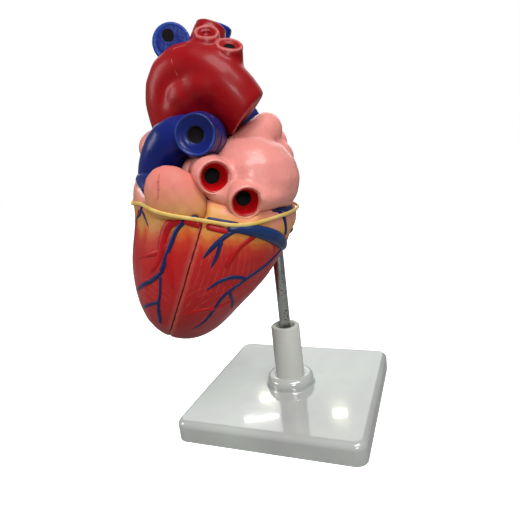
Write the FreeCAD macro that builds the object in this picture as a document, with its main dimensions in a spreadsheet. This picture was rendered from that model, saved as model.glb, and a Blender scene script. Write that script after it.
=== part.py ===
import FreeCAD, Part
import math
import os
import Sketcher
from FreeCAD import Placement, Rotation, Vector

# A heart model for the classroom: a square base with a rod, and on the rod a painted heart whose
# front wall pulls away to show both ventricles, their valves and the muscles that work them.
#
# Two frames are used. The stand is drawn about the middle of the base's underside, with Z up.
# The heart is drawn about the point where the rod enters it, with X to its back (posterior),
# Y to its right side, Z up, and is turned and lifted onto the rod at the end.
#
# Places on the heart are given in percent of its three reference lengths (depth, width and rise),
# so that the organ keeps its form when one of them is changed.

SIZES = [
    ("base_side", 120, "side of the square base"),
    ("base_thickness", 13.4, "height of the base"),
    ("base_corner_radius", 7.3, "upright corners of the base"),
    ("base_edge_radius", 4, "rounding of the top edge"),
    ("base_wall", 3, "wall of the base moulding"),
    ("rib_thickness", 2.4, "ribs under the base"),
    ("boss_radius", 15, "boss under the base that holds the sleeve"),
    ("boss_floor", 3, "floor of that boss"),
    ("collar_radius", 15.75, "outside of the collar round the sleeve"),
    ("collar_rise", 7.8, "height of the collar above the base"),
    ("sleeve_diameter", 19.4, "outside of the support sleeve"),
    ("sleeve_rise", 43.6, "height of the sleeve above the base"),
    ("sleeve_mouth", 12.3, "width of the recess in the sleeve's top"),
    ("mouth_depth", 9, "depth of that recess"),
    ("sleeve_edge", 0.8, "rounding of the sleeve's top edge"),
    ("sleeve_floor", 3, "floor of the sleeve under the rod"),
    ("rod_diameter", 7.3, "steel rod"),
    ("rod_chamfer", 0.7, "chamfer at both ends of the rod"),
    ("rod_clearance", 0.05, "radial clearance of the rod in sleeve and socket"),
    ("end_clearance", 0.25, "gap under and over the rod's ends"),
    ("seat_height", 108, "height at which the rod enters the heart"),
    ("socket_depth", 30, "depth of the rod socket in the heart"),
    ("socket_wall", 2.1, "wall of the rod socket"),
    ("heart_turn", 22.18, "turn of the heart on the rod, in degrees"),
    ("heart_depth", 100, "reference length from front to back"),
    ("heart_width", 100, "reference length from side to side"),
    ("heart_rise", 100, "reference length upwards"),
    ("groove_depth", 3, "depth of the grooves between the ventricles, in percent"),
    ("seam_gap", 0.3, "gap between the front wall and the rear heart"),
    ("pin_radius", 1.6, "register pins of the front wall"),
    ("pin_reach", 4, "how far a pin stands out of the rear wall"),
    ("pin_root", 4, "how deep a pin sits in the rear wall"),
    ("pin_clearance", 0.15, "radial clearance of a pin in the front wall"),
    ("pull_angle", 25, "downward slope of the front wall's way out, in degrees"),
    ("aorta_radius", 15.5, "arch of the aorta"),
    ("trunk_radius", 12.5, "pulmonary trunk"),
    ("branch_radius", 12.9, "left pulmonary artery"),
    ("cava_radius", 10.2, "upper hollow vein"),
    ("lower_cava_radius", 12, "lower hollow vein"),
    ("vein_radius", 7.8, "lumen cup of a pulmonary vein"),
    ("vein_rim", 1.9, "rim of the atrium round a pulmonary vein"),
    ("dimple_radius", 3.9, "dark hole in the middle of a vessel's end"),
    ("dimple_depth", 7, "depth of that hole"),
    ("dish_depth", 2.4, "hollow of a vessel's end"),
    ("sinus_radius", 3, "coronary sinus"),
    ("inlet_valve_radius", 11, "mitral valve, outside of its ring"),
    ("tricuspid_radius", 11.5, "tricuspid valve, outside of its ring"),
    ("outlet_valve_radius", 8.5, "aortic and pulmonary valves, outside of their rings"),
    ("valve_ring", 2.2, "width of a valve's ring"),
    ("leaflet", 0.9, "thickness of a valve's leaflets"),
    ("inlet_leaflet_drop", 9, "how far the inlet leaflets hang down"),
    ("chorda_radius", 0.45, "tendinous cords"),
    ("band_width", 2.4, "width of the rubber band"),
    ("band_thickness", 1.3, "thickness of the rubber band"),
    ("band_gap", 0.5, "gap between the rubber band and the heart"),
]

doc = FreeCAD.newDocument("heart_model")
sheet = doc.addObject("Spreadsheet::Sheet", "Sizes")
for row, (alias, value, meaning) in enumerate(SIZES, start=1):
    sheet.set("A%d" % row, meaning)
    sheet.set("B%d" % row, str(value))
    sheet.setAlias("B%d" % row, alias)
doc.recompute()

SUB_PARTS = []


def size(alias):
    return float(sheet.get(alias))


def at(depth, width, rise):
    """A place on the heart, in percent of its reference lengths."""
    return Vector(
        depth / 100 * size("heart_depth"),
        width / 100 * size("heart_width"),
        rise / 100 * size("heart_rise"),
    )


def keep(feature, label):
    """Registers a finished sub-part under its node's name."""
    feature.Label = label
    SUB_PARTS.append(feature)
    return feature


def heart_placement():
    return Placement(
        Vector(0, 0, size("seat_height")), Rotation(Vector(0, 0, 1), size("heart_turn"))
    )


def heart_piece(label, shape):
    """A moulded piece of the heart: its solid, put on the rod."""
    feature = doc.addObject("Part::Feature", label)
    feature.Shape = shape
    feature.Placement = heart_placement()
    return keep(feature, label)


def biggest(shape):
    """The largest solid of a boolean's result, without the crumbs at its edges."""
    return max(shape.Solids, key=lambda solid: solid.Volume)


def union(shapes):
    joined = shapes[0].multiFuse(shapes[1:]) if len(shapes) > 1 else shapes[0]
    return biggest(joined)


# ---------------------------------------------------------------- sketches of the stand


def origin_plane(body, role):
    return next(item for item in body.Origin.OriginFeatures if item.Role == role)


def new_sketch(body, name, role):
    sketch = body.newObject("Sketcher::SketchObject", name)
    sketch.AttachmentSupport = [(origin_plane(body, role), "")]
    sketch.MapMode = "FlatFace"
    return sketch


def bind(sketch, index, name, expression):
    sketch.renameConstraint(index, name)
    sketch.setExpression("Constraints." + name, expression)


def centred_rectangle(body, name, wide, high, lift="0"):
    """A rectangle about the body's origin, with both sides bound to expressions."""
    sketch = new_sketch(body, name, "XY_Plane")
    corners = [Vector(-9, -9, 0), Vector(9, -9, 0), Vector(9, 9, 0), Vector(-9, 9, 0)]
    for start, end in zip(corners, corners[1:] + corners[:1]):
        sketch.addGeometry(Part.LineSegment(start, end))
    for side in range(4):
        sketch.addConstraint(Sketcher.Constraint("Coincident", side, 2, (side + 1) % 4, 1))
    sketch.addConstraint(Sketcher.Constraint("Horizontal", 0))
    sketch.addConstraint(Sketcher.Constraint("Horizontal", 2))
    sketch.addConstraint(Sketcher.Constraint("Vertical", 1))
    sketch.addConstraint(Sketcher.Constraint("Vertical", 3))
    sketch.addConstraint(Sketcher.Constraint("Symmetric", 0, 1, 1, 2, -1, 1))
    across = sketch.addConstraint(Sketcher.Constraint("DistanceX", 0, 1, 0, 2, 18))
    along = sketch.addConstraint(Sketcher.Constraint("DistanceY", 1, 1, 1, 2, 18))
    bind(sketch, across, "Wide", wide)
    bind(sketch, along, "High", high)
    sketch.setExpression("AttachmentOffset.Base.z", lift)
    return sketch


def circle_sketch(body, name, radius, lift="0"):
    sketch = new_sketch(body, name, "XY_Plane")
    sketch.addGeometry(Part.Circle(Vector(0, 0, 0), Vector(0, 0, 1), 5))
    sketch.addConstraint(Sketcher.Constraint("Coincident", 0, 3, -1, 1))
    index = sketch.addConstraint(Sketcher.Constraint("Radius", 0, 5))
    bind(sketch, index, "Round", radius)
    sketch.setExpression("AttachmentOffset.Base.z", lift)
    return sketch


def profile_sketch(body, name, corners):
    """A closed outline in the XZ plane whose corners are pairs of expressions (radius, height)."""
    sketch = new_sketch(body, name, "XZ_Plane")
    start = [Vector(5 + 3 * math.cos(k), 9 + 3 * math.sin(k), 0)
             for k in (2 * math.pi * i / len(corners) for i in range(len(corners)))]
    for first, second in zip(start, start[1:] + start[:1]):
        sketch.addGeometry(Part.LineSegment(first, second))
    count = len(corners)
    for side in range(count):
        following = (side + 1) % count
        sketch.addConstraint(Sketcher.Constraint("Coincident", side, 2, following, 1))
    for side, (radius, height) in enumerate(corners):
        out = sketch.addConstraint(
            Sketcher.Constraint("DistanceX", -1, 1, side, 1, start[side].x))
        up = sketch.addConstraint(
            Sketcher.Constraint("DistanceY", -1, 1, side, 1, start[side].y))
        bind(sketch, out, "Out%d" % side, radius)
        bind(sketch, up, "Up%d" % side, height)
    return sketch


def pad(body, name, sketch, length):
    feature = body.newObject("PartDesign::Pad", name)
    feature.Profile = sketch
    feature.setExpression("Length", length)
    return feature


def pocket(body, name, sketch, length):
    """Cuts upwards from the sketch and makes sure that something was cut."""
    doc.recompute()
    before = body.Shape.Volume
    feature = body.newObject("PartDesign::Pocket", name)
    feature.Profile = sketch
    feature.setExpression("Length", length)
    feature.Reversed = True
    doc.recompute()
    if not body.Shape.Volume < before - 1:
        raise RuntimeError(name + " cuts nothing")
    return feature


def revolve(body, name, sketch):
    feature = body.newObject("PartDesign::Revolution", name)
    feature.Profile = sketch
    feature.ReferenceAxis = (origin_plane(body, "Z_Axis"), [""])
    feature.Angle = 360
    return feature


def edges_where(feature, test):
    return ["Edge%d" % (i + 1) for i, edge in enumerate(feature.Shape.Edges) if test(edge)]


def round_edges(body, name, base, edges, radius):
    feature = body.newObject("PartDesign::Fillet", name)
    feature.Base = (base, edges)
    feature.setExpression("Radius", radius)
    doc.recompute()
    return feature


# ---------------------------------------------------------------- base, sleeve and rod


def make_base():
    """The moulded base: a rounded plate, hollow and ribbed beneath, with a closed boss in the middle."""
    body = doc.addObject("PartDesign::Body", "base_plate")
    plate = pad(body, "Plate", centred_rectangle(body, "Outline", "Sizes.base_side",
                "Sizes.base_side"), "Sizes.base_thickness")
    doc.recompute()
    upright = edges_where(plate, lambda e: abs(e.Vertexes[0].Z - e.Vertexes[1].Z) > 1)
    corners = round_edges(body, "Corners", plate, upright, "Sizes.base_corner_radius")
    top = size("base_thickness")
    rim = edges_where(corners, lambda e: min(v.Z for v in e.Vertexes) > top - 0.001)
    round_edges(body, "TopEdge", corners, rim, "Sizes.base_edge_radius")
    inner = "Sizes.base_side - 2 * Sizes.base_wall"
    pocket(body, "Hollow", centred_rectangle(body, "HollowOutline", inner, inner),
           "Sizes.base_thickness - Sizes.base_wall - Sizes.base_edge_radius / 2")
    rib = "Sizes.base_thickness - Sizes.base_wall"
    pad(body, "LengthRib", centred_rectangle(body, "LengthRibOutline", inner,
        "Sizes.rib_thickness"), rib)
    pad(body, "CrossRib", centred_rectangle(body, "CrossRibOutline", "Sizes.rib_thickness",
        inner), rib)
    pad(body, "Boss", circle_sketch(body, "BossOutline", "Sizes.boss_radius"), rib)
    doc.recompute()
    seat = "Sizes.sleeve_diameter / 2"
    soft = " - 0.5 * (Sizes.collar_radius - Sizes.sleeve_diameter / 2)"
    third = "0.1 * (Sizes.collar_radius - Sizes.sleeve_diameter / 2)"
    low = "Sizes.base_thickness - Sizes.base_wall"
    high = "Sizes.base_thickness + Sizes.collar_rise"
    collar = profile_sketch(body, "CollarProfile", [
        (seat, low), ("Sizes.collar_radius - " + third, low),
        ("Sizes.collar_radius - " + third, "Sizes.base_thickness"),
        ("Sizes.collar_radius", "Sizes.base_thickness + Sizes.collar_rise * 0.25"),
        ("Sizes.collar_radius", "Sizes.base_thickness + Sizes.collar_rise * 0.55"),
        ("Sizes.collar_radius - 2 * " + third, high + " - Sizes.collar_rise * 0.17"),
        ("Sizes.collar_radius" + soft, high), (seat, high)])
    revolve(body, "Collar", collar)
    pocket(body, "SleeveSeat", circle_sketch(body, "SeatOutline", seat, "Sizes.boss_floor"),
           "Sizes.base_thickness")
    return keep(body, "base_plate")


def make_sleeve():
    """The plastic sleeve that stands in the base's collar and guides the rod."""
    body = doc.addObject("PartDesign::Body", "support_sleeve")
    outer = "Sizes.sleeve_diameter / 2"
    bore = "Sizes.rod_diameter / 2 + Sizes.rod_clearance"
    foot = "Sizes.boss_floor"
    floor = "Sizes.boss_floor + Sizes.sleeve_floor"
    top = "Sizes.base_thickness + Sizes.sleeve_rise"
    shoulder = top + " - Sizes.mouth_depth"
    mouth = "Sizes.sleeve_mouth / 2"
    edge = " - Sizes.sleeve_edge"
    profile = profile_sketch(body, "SleeveProfile", [
        ("0", foot), (outer, foot), (outer, top + edge), (outer + edge, top),
        (mouth + " + Sizes.sleeve_edge", top), (mouth, top + edge),
        (mouth, shoulder), (bore, shoulder), (bore, floor), ("0", floor)])
    revolve(body, "Turned", profile)
    return keep(body, "support_sleeve")


def make_rod():
    """The plated steel rod, chamfered at both ends, from the sleeve's floor to the heart's socket."""
    rod = doc.addObject("Part::Cylinder", "RodBar")
    rod.setExpression("Radius", "Sizes.rod_diameter / 2")
    low = "Sizes.boss_floor + Sizes.sleeve_floor + Sizes.end_clearance"
    high = "Sizes.seat_height + Sizes.socket_depth - Sizes.end_clearance"
    rod.setExpression("Height", high + " - (" + low + ")")
    rod.setExpression("Placement.Base.z", low)
    doc.recompute()
    chamfered = doc.addObject("Part::Chamfer", "support_rod")
    chamfered.Base = rod
    bevel = size("rod_chamfer")
    rims = [i + 1 for i, e in enumerate(rod.Shape.Edges) if isinstance(e.Curve, Part.Circle)]
    chamfered.Edges = [(index, bevel, bevel) for index in rims]
    return keep(chamfered, "support_rod")


# ---------------------------------------------------------------- forms of the heart

ROUND = 16


def smooth(stations, steps):
    """More stations on a smooth curve through the given ones (a Catmull-Rom spline)."""
    finer = []
    for index in range(len(stations) - 1):
        before = stations[max(index - 1, 0)]
        start, end = stations[index], stations[index + 1]
        after = stations[min(index + 2, len(stations) - 1)]
        for step in range(steps):
            t = step / steps
            finer.append(tuple(
                0.5 * (2 * q + (r - p) * t + (2 * p - 5 * q + 4 * r - o) * t ** 2
                       + (3 * q - p - 3 * r + o) * t ** 3)
                for p, q, r, o in zip(before, start, end, after)))
    return finer + [tuple(stations[-1])]


def moulding(rings, first=None, last=None, loop=False):
    """A closed solid with flat facets through rings, ended by points or flat caps, or a loop."""
    count, levels = len(rings[0]), len(rings)
    corners = [place for ring in rings for place in ring]
    facets = []
    for level in range(levels if loop else levels - 1):
        low, high = level * count, (level + 1) % levels * count
        for side in range(count):
            following = (side + 1) % count
            facets.append((low + side, low + following, high + following))
            facets.append((low + side, high + following, high + side))
    for end, level in () if loop else ((first, 0), (last, levels - 1)):
        tip = end or sum(rings[level], Vector()) / count
        corners.append(tip)
        for side in range(count):
            edge = (level * count + side, level * count + (side + 1) % count)
            facets.append((len(corners) - 1,) + (edge if level else edge[::-1]))
    shell = Part.Shape()
    shell.makeShapeFromMesh((corners, facets), 1e-4)
    solid = Part.makeSolid(shell)
    if solid.Volume < 0:
        solid.reverse()
    return solid.removeSplitter() if first is None or last is None else solid


def oval(rise, front, back, left, right, grooves=0.0):
    """A level section of the ventricles, drawn in where the grooves between them run."""
    mid_depth, half_depth = (front + back) / 2, (back - front) / 2
    mid_width, half_width = (left + right) / 2, (right - left) / 2
    places = []
    for step in range(OVAL_POINTS):
        turn = 2 * math.pi * step / OVAL_POINTS
        pull = 1.0
        for groove in GROOVE_TURNS:
            away = math.atan2(math.sin(turn - groove), math.cos(turn - groove))
            pull -= grooves / 100 * math.exp(-(away / GROOVE_SPREAD) ** 2)
        places.append(at(mid_depth + half_depth * pull * math.cos(turn),
                         mid_width + half_width * pull * math.sin(turn), rise))
    return places


OVAL_POINTS = 24
GROOVE_SPREAD = math.radians(16)
GROOVE_TURNS = (math.radians(202), math.radians(36))

# Level sections of the ventricles from the tip upwards: rise, front, back, left side, right side.
VENTRICLE_SECTIONS = [
    (-47.7, -67.0, -58.0, -11.5, -4.5),
    (-46.5, -70.5, -54.0, -15.5, -1.0),
    (-43.8, -74.8, -47.8, -22.0, 6.0),
    (-38.4, -82.2, -39.2, -31.0, 15.0),
    (-27.4, -89.8, -26.6, -41.0, 27.0),
    (-11.0, -93.4, -8.0, -48.0, 37.0),
    (9.0, -92.8, 7.0, -51.0, 43.0),
    (27.0, -88.4, 13.0, -50.5, 45.0),
    (37.0, -86.4, 5.0, -47.0, 42.0),
    (46.0, -85.0, -28.0, -41.0, 33.0),
    (55.0, -81.8, -50.0, -31.0, 15.0),
    (60.0, -79.5, -56.0, -24.0, 8.0),
]
VENTRICLE_TIP = (-62.5, -8.0, -48.3)


def ventricle_block():
    """The outer form of both ventricles, from the tip to the shoulder that carries the vessels."""
    grooves = size("groove_depth")
    rings = [oval(*section, grooves=grooves) for section in smooth(VENTRICLE_SECTIONS, 2)]
    return moulding(rings, first=at(*VENTRICLE_TIP))


def chamber(sections, floor, roof):
    """A ventricle's inside: level ellipses that lie along the septum, closed at both ends."""
    rings = []
    for rise, mid_depth, mid_width, half_long, half_short in smooth(sections, 2):
        ring = []
        for step in range(CHAMBER_POINTS):
            turn = 2 * math.pi * step / CHAMBER_POINTS
            along, across = half_long * math.cos(turn), half_short * math.sin(turn)
            ring.append(at(
                mid_depth + along * math.cos(SEPTUM_SLANT) - across * math.sin(SEPTUM_SLANT),
                mid_width + along * math.sin(SEPTUM_SLANT) + across * math.cos(SEPTUM_SLANT),
                rise))
        rings.append(ring)
    return moulding(rings, first=at(*floor), last=at(*roof))


CHAMBER_POINTS = 14
SEPTUM_SLANT = math.radians(24.7)

# Rise, middle (depth, width), half length along the septum, half width across it.
LEFT_CHAMBER = [
    (-35.0, -64.0, -17.0, 8.0, 5.0),
    (-26.0, -58.0, -18.0, 18.0, 10.0),
    (-8.0, -46.0, -19.5, 27.0, 14.0),
    (12.0, -38.0, -19.0, 28.5, 15.5),
    (24.0, -37.0, -17.5, 25.0, 14.5),
    (31.0, -38.0, -16.0, 16.0, 10.0),
]
LEFT_FLOOR = (-65.5, -16.5, -37.5)
LEFT_ROOF = (-38.0, -16.0, 34.0)
RIGHT_CHAMBER = [
    (-21.0, -66.0, 7.0, 9.0, 5.0),
    (-10.0, -60.0, 12.0, 21.0, 10.5),
    (8.0, -52.0, 18.0, 29.0, 15.0),
    (24.0, -52.0, 17.5, 31.0, 15.5),
    (33.0, -58.0, 12.0, 25.0, 13.0),
    (42.0, -66.0, 3.0, 13.0, 9.5),
]
RIGHT_FLOOR = (-67.0, 6.0, -23.5)
RIGHT_ROOF = (-67.5, 0.0, 46.5)


def ellipsoid(centre, half_depth, half_width, half_rise, lean=0.0):
    """A rounded lobe about a place on the heart, leant forwards or back about its side axis."""
    turn = Rotation(Vector(0, 1, 0), lean)
    middle = at(*centre)
    rings = []
    for level in range(1, LOBE_LEVELS):
        height = -math.cos(math.pi * level / LOBE_LEVELS)
        girth = math.sqrt(1 - height ** 2)
        rings.append([middle + turn.multVec(at(
            half_depth * girth * math.cos(2 * math.pi * step / ROUND),
            half_width * girth * math.sin(2 * math.pi * step / ROUND),
            half_rise * height)) for step in range(ROUND)])
    pole = turn.multVec(at(0, 0, half_rise))
    return moulding(rings, first=middle - pole, last=middle + pole)


LOBE_LEVELS = 8


def ring_across(centre, way, radius, count, side=None):
    """Places round a point, across a direction; also gives the side they start from."""
    way = Vector(way).normalize()
    side = side or (Vector(0, 1, 0) if abs(way.y) < 0.9 else Vector(1, 0, 0))
    side = (side - way * side.dot(way)).normalize()
    up = way.cross(side)
    ring = []
    for step in range(count):
        turn = 2 * math.pi * step / count
        ring.append(centre + side * radius * math.cos(turn) + up * radius * math.sin(turn))
    return ring, side


def tube(stations, count=ROUND):
    """A vessel's outer form: rings across a smooth path through (depth, width, rise, radius)."""
    side = None
    rings = []
    for index, station in enumerate(stations):
        before, after = stations[max(index - 1, 0)], stations[min(index + 1, len(stations) - 1)]
        way = at(*after[:3]) - at(*before[:3])
        ring, side = ring_across(at(*station[:3]), way, station[3], count, side)
        rings.append(ring)
    return moulding(rings)


def spindle(start, way, profile, count=ROUND):
    """A straight turned form: pairs of (distance along the way, radius) from its start."""
    way = Vector(way).normalize()
    rings = [ring_across(start + way * along, way, radius, count)[0] for along, radius in profile]
    return moulding(rings)


def stub(start, end, radius, end_radius=None):
    """A straight branch between two places on the heart, its rim rounded off."""
    base, top = at(*start), at(*end)
    length, rim = (top - base).Length, end_radius or radius
    lip = 0.13 * rim
    return spindle(base, top - base, [(0, radius), (length - lip, rim),
                                      (length - 0.3 * lip, rim - 0.3 * lip), (length, rim - lip)])


def knob(centre, radius):
    """A ball about a place on the heart."""
    share = 100 * radius
    return ellipsoid(centre, share / size("heart_depth"), share / size("heart_width"),
                     share / size("heart_rise"))


def mouth(end, outward, wide, deep=1.0):
    """What is hollowed out of a vessel's end: a dish with a dimple in its middle."""
    dish, dimple = size("dish_depth") * deep, size("dimple_radius")
    slope = (wide - dimple) / dish
    return spindle(at(*end), Vector(*outward) * -1,
                   [(-1.0, wide + slope), (dish, dimple),
                    (dish + size("dimple_depth") / deep, dimple)])


# ---------------------------------------------------------------- seam of the front wall

# The seam in the side view, from the tip up to the groove and back over the shoulder: depth, rise.
SEAM_LOWER = [(-77.5, -60.0), (-75.5, -44.0), (-66.5, -26.0), (-57.0, -6.0), (-46.5, 17.0),
              (-40.0, 31.5)]
SEAM_UPPER = [(-44.5, 38.0), (-60.0, 44.5), (-72.0, 50.5), (-81.0, 55.5), (-100.0, 66.0)]
FRONT_LIMIT = -130.0


def pull_direction():
    slope = math.radians(size("pull_angle"))
    return Vector(-math.cos(slope), 0, -math.sin(slope))


def front_space(shift):
    """The space in front of the seam, shifted along the front wall's way out."""
    outline = smooth(SEAM_LOWER, 2) + smooth(SEAM_UPPER, 2)
    outline += [(FRONT_LIMIT, outline[-1][1]), (FRONT_LIMIT, outline[0][1])]
    places = [at(depth, -80, rise) + shift for depth, rise in outline]
    return Part.Face(Part.makePolygon(places + places[:1])).extrude(at(0, 160, 0))


# ---------------------------------------------------------------- valves and their muscles


def inlet_valve(place, axis, outer, leaflets, first_turn):
    """A ring with flaps that hang as a funnel and are slit from each other."""
    up = Vector(*axis).normalize()
    centre = at(*place)
    thick, drop = size("leaflet"), size("inlet_leaflet_drop")
    inner, high = outer - size("valve_ring"), size("valve_ring")
    throat = inner * 0.55
    body = spindle(centre, up, [(-drop, throat), (0, inner), (0.01, outer), (high, outer)])
    inside = spindle(centre, up, [(-drop - 1, throat - thick - (inner - throat) / drop),
                                  (0, inner - thick), (high + 1, inner - thick)])
    slits = []
    for slit in range(leaflets):
        side = ring_across(Vector(), up, 1.0, 360)[0][(first_turn + 360 * slit // leaflets) % 360]
        across = up.cross(side) * thick / 2
        low, top = centre - up * (drop + 1), centre - up * 1.0
        corners = [low - across, low + across, top + across, top - across]
        slits.append(Part.Face(Part.makePolygon(corners + corners[:1])).extrude(side * outer))
    return biggest(body.cut([inside] + slits))


def outlet_valve(place, axis, outer):
    """A ring closed by three pockets that hang into the passage and meet in its middle."""
    up = Vector(*axis).normalize()
    centre = at(*place)
    inner, high = outer - size("valve_ring"), size("valve_ring") * 1.4
    thick = size("leaflet")
    body = spindle(centre, up, [(0, outer), (high, outer)])
    bowl = spindle(centre, up, [(thick, inner), (high + 1, inner)])
    pockets, hollows = [], []
    for cusp in range(3):
        side = ring_across(Vector(), up, inner * 0.5, 3)[0][cusp]
        foot = centre + side
        deep = inner * 0.55
        pockets.append(spindle(foot, up * -1, [(-thick, deep * 0.8), (0, deep * 0.8),
                                               (deep * 0.7, deep * 0.55), (deep, deep * 0.2)], 12))
        hollows.append(spindle(foot, up * -1, [(-high, deep * 0.8 - thick),
                                               (deep * 0.5, deep * 0.55 - thick / 2)], 12))
    return biggest(biggest(body.cut(bowl)).fuse(pockets).cut(hollows))


def papillary(foot, tip, wide):
    """A tapered muscle with a rounded tip."""
    base, top = at(*foot), at(*tip)
    long = (top - base).Length
    return spindle(base, top - base, [(0, wide), (long * 0.6, wide * 0.75),
                                      (long - wide * 0.3, wide * 0.5), (long, wide * 0.2)], 12)


def cords(tip, ends):
    """Thin tendinous cords from a muscle's tip to the leaflets' edges."""
    base = at(*tip)
    radius = size("chorda_radius")
    return [spindle(base, end - base, [(0, radius), ((end - base).Length, radius)], 6)
            for end in ends]


# ---------------------------------------------------------------- rubber band

BAND_MIDDLE = (-36.0, -4.0, 36.2)
BAND_ACROSS = (-0.146, 0.06)


def band_frame():
    """The band's plane: its middle, two directions in it and its normal."""
    middle = at(*BAND_MIDDLE)
    forth = at(10, 0, 10 * BAND_ACROSS[0]).normalize()
    normal = forth.cross(at(0, 10, 10 * BAND_ACROSS[1])).normalize()
    return middle, forth, normal.cross(forth), normal


def hull(points):
    """The convex outline of points in a plane, in turn."""
    def half(ordered):
        chain = []
        for point in ordered:
            while len(chain) > 1 and ((chain[-1][0] - chain[-2][0]) * (point[1] - chain[-2][1])
                                      <= (chain[-1][1] - chain[-2][1]) * (point[0] - chain[-2][0])):
                chain.pop()
            chain.append(point)
        return chain[:-1]
    ordered = sorted(points)
    return half(ordered) + half(ordered[::-1])


def reach(outline, turn):
    """How far an outline about the middle reaches in one direction."""
    way = (math.cos(turn), math.sin(turn))
    best = 0.0
    for (ax, ay), (bx, by) in zip(outline, outline[1:] + outline[:1]):
        edge = (bx - ax, by - ay)
        across = way[0] * edge[1] - way[1] * edge[0]
        if abs(across) < 1e-9:
            continue
        out = (ax * edge[1] - ay * edge[0]) / across
        along = (ax * way[1] - ay * way[0]) / across
        if -1e-6 <= along <= 1 + 1e-6 and out > best:
            best = out
    return best


def rubber_band(solids, clearance=0.0):
    """A flat band stretched round the heart: the convex outline of what it crosses, with a gap."""
    middle, forth, side, normal = band_frame()
    half_width = size("band_width") / 2
    half = half_width + clearance
    crossed = []
    for lift in (-half_width - BAND_DIP, -half_width, 0, half_width, half_width + BAND_DIP):
        level = (middle + normal * lift).dot(normal)
        for solid in solids:
            for wire in solid.slice(normal, level):
                for point in wire.discretize(Number=120):
                    away = point - middle
                    crossed.append((away.dot(forth), away.dot(side)))
    outline = hull(crossed)

    sections = []
    for step in range(BAND_POINTS):
        turn = 2 * math.pi * step / BAND_POINTS
        wave = sum(rise * math.exp(-((turn - middle_turn) / spread) ** 2)
                   for middle_turn, spread, rise in BAND_WAVES)
        away = forth * math.cos(turn) + side * math.sin(turn)
        near = reach(outline, turn) + size("band_gap") - clearance
        far = near + size("band_thickness") + 2 * clearance
        low, high = normal * (wave - half), normal * (wave + half)
        sections.append([middle + low + away * near, middle + low + away * far,
                         middle + high + away * far, middle + high + away * near])
    return moulding(sections, loop=True)


BAND_POINTS = 48
# Where the band leaves its plane: the turn, how wide the wave is and how far it rises.
BAND_WAVES = [(math.radians(222), 0.40, 4.2), (math.radians(291), 0.38, -3.4)]
BAND_DIP = 3.0


# ---------------------------------------------------------------- the heart, put together

# Paths of the vessels: depth, width, rise and, as a share of the vessel's own radius, its girth.
AORTA_PATH = [(-48, -2, 40, 0.80), (-51.5, 4, 58, 0.92), (-52.6, 6, 84, 1.0), (-54.6, 5, 100, 1.0),
              (-49.5, 2, 112, 1.02), (-36.5, -4, 115, 1.02), (-22, -9.5, 104, 1.02),
              (-13.5, -10.5, 92, 1.0), (-9.8, -10.5, 86, 0.96)]
AORTA_END = ((-9.8, -10.5, 86), (0.74, -0.04, -0.67))
AORTA_WEB = ((-36.3, -3.1, 94.3), 24.8, 15.2, 23.8)
# Branches of the arch: the place they leave it, their end, radius at the foot and at the end.
ARCH_BRANCHES = [((-36.5, 0, 112), (-24.9, 6.5, 139.6), 11.2, 9.3),
                 ((-30, 2, 114), (-27.3, -8, 133.2), 9.4, 7.0),
                 ((-20, -3, 105), (-15.2, -12, 124.6), 10.0, 7.6)]
TRUNK_PATH = [(-69, -5, 47, 0.98), (-67, -8, 57.5, 1.0), (-62, -13.5, 67.5, 1.02),
              (-55, -17.5, 75.5, 1.04), (-45.7, -16.9, 78.1, 0.98), (-36.9, -5.5, 77.9, 0.86),
              (-28.6, 7.8, 78.5, 0.77), (-16.5, 21.5, 83.5, 0.78), (-9, 34, 88, 0.8)]
BRANCH_ENDS = ((-35.3, -14, 76.5), (-38.4, -41, 77.2))
CAVA_PATH = [(-34, 29, 62, 1.1), (-37, 30, 84, 1.0), (-41, 29, 104, 1.0), (-47, 26, 120, 1.03),
             (-49.6, 18.5, 130, 1.03), (-50.6, 9.5, 134.6, 1.04)]
CAVA_BRANCH = ((-37, 29, 104), (-22.8, 29.0, 146.0))
LOWER_CAVA_ENDS = ((-9, 24, 36), (3, 26, 5))
ATRIUM_LOBES = [((-12.5, -10, 48), 30.5, 33, 27, 0), ((-29, -23, 45), 15, 22, 18, 0),
                ((-40, -20, 56), 12, 15, 12, 0), ((-1.5, -1, 25), 16.3, 18, 16, 0),
                ((-15, -18, 40), 26, 29.5, 13, 0)]
ATRIUM_RIDGES = [((-22, -17, 62), (1.3, 8, 78), 10.5), ((-14, -15, 50), (5.5, 12, 59.5), 12.3)]
LEFT_VEINS = {
    "upper_left_pulmonary_vein": ((-30.5, -45.2, 54.1), (0.30, -0.94, -0.12)),
    "lower_left_pulmonary_vein": ((-15.6, -45.6, 38.9), (0.22, -0.93, -0.28)),
}
RIGHT_VEINS = {
    "upper_right_pulmonary_vein": ((6.0, 30.0, 69.0), (0.25, 0.97, 0.0)),
    "lower_right_pulmonary_vein": ((8.0, 31.0, 50.0), (0.30, 0.95, -0.05)),
}
VEIN_LENGTH = 26.0
CUP_DEPTH = 13.0
CUP_DISH = 2.9
RIGHT_ATRIUM_LOBES = [((-30, 27, 47), 33, 22, 27, 0), ((-10, 25, 30), 17, 17, 19, 0)]
RIGHT_AURICLE_LOBES = [((-64.5, 19, 73), 18.5, 13, 14, 12), ((-50, 26, 62), 18, 16, 16, 0)]
LEFT_AURICLE_LOBE = ((-53.7, -39.0, 44.3), 19.9, 11.5, 15.2, 60.8)
AURICLE_BACK = -35.0
AURICLE_DROP = 1.2
SINUS_PATH = [(-28.1, -49.3, 26.6, 0.5), (-17.6, -46.1, 24.8, 0.85), (-6.9, -39.7, 20.2, 1.15),
              (-1.9, -34.1, 16.5, 1.2), (1.5, -27.5, 11.9, 1.1), (2.9, -18.3, 6.7, 0.75)]

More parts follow.
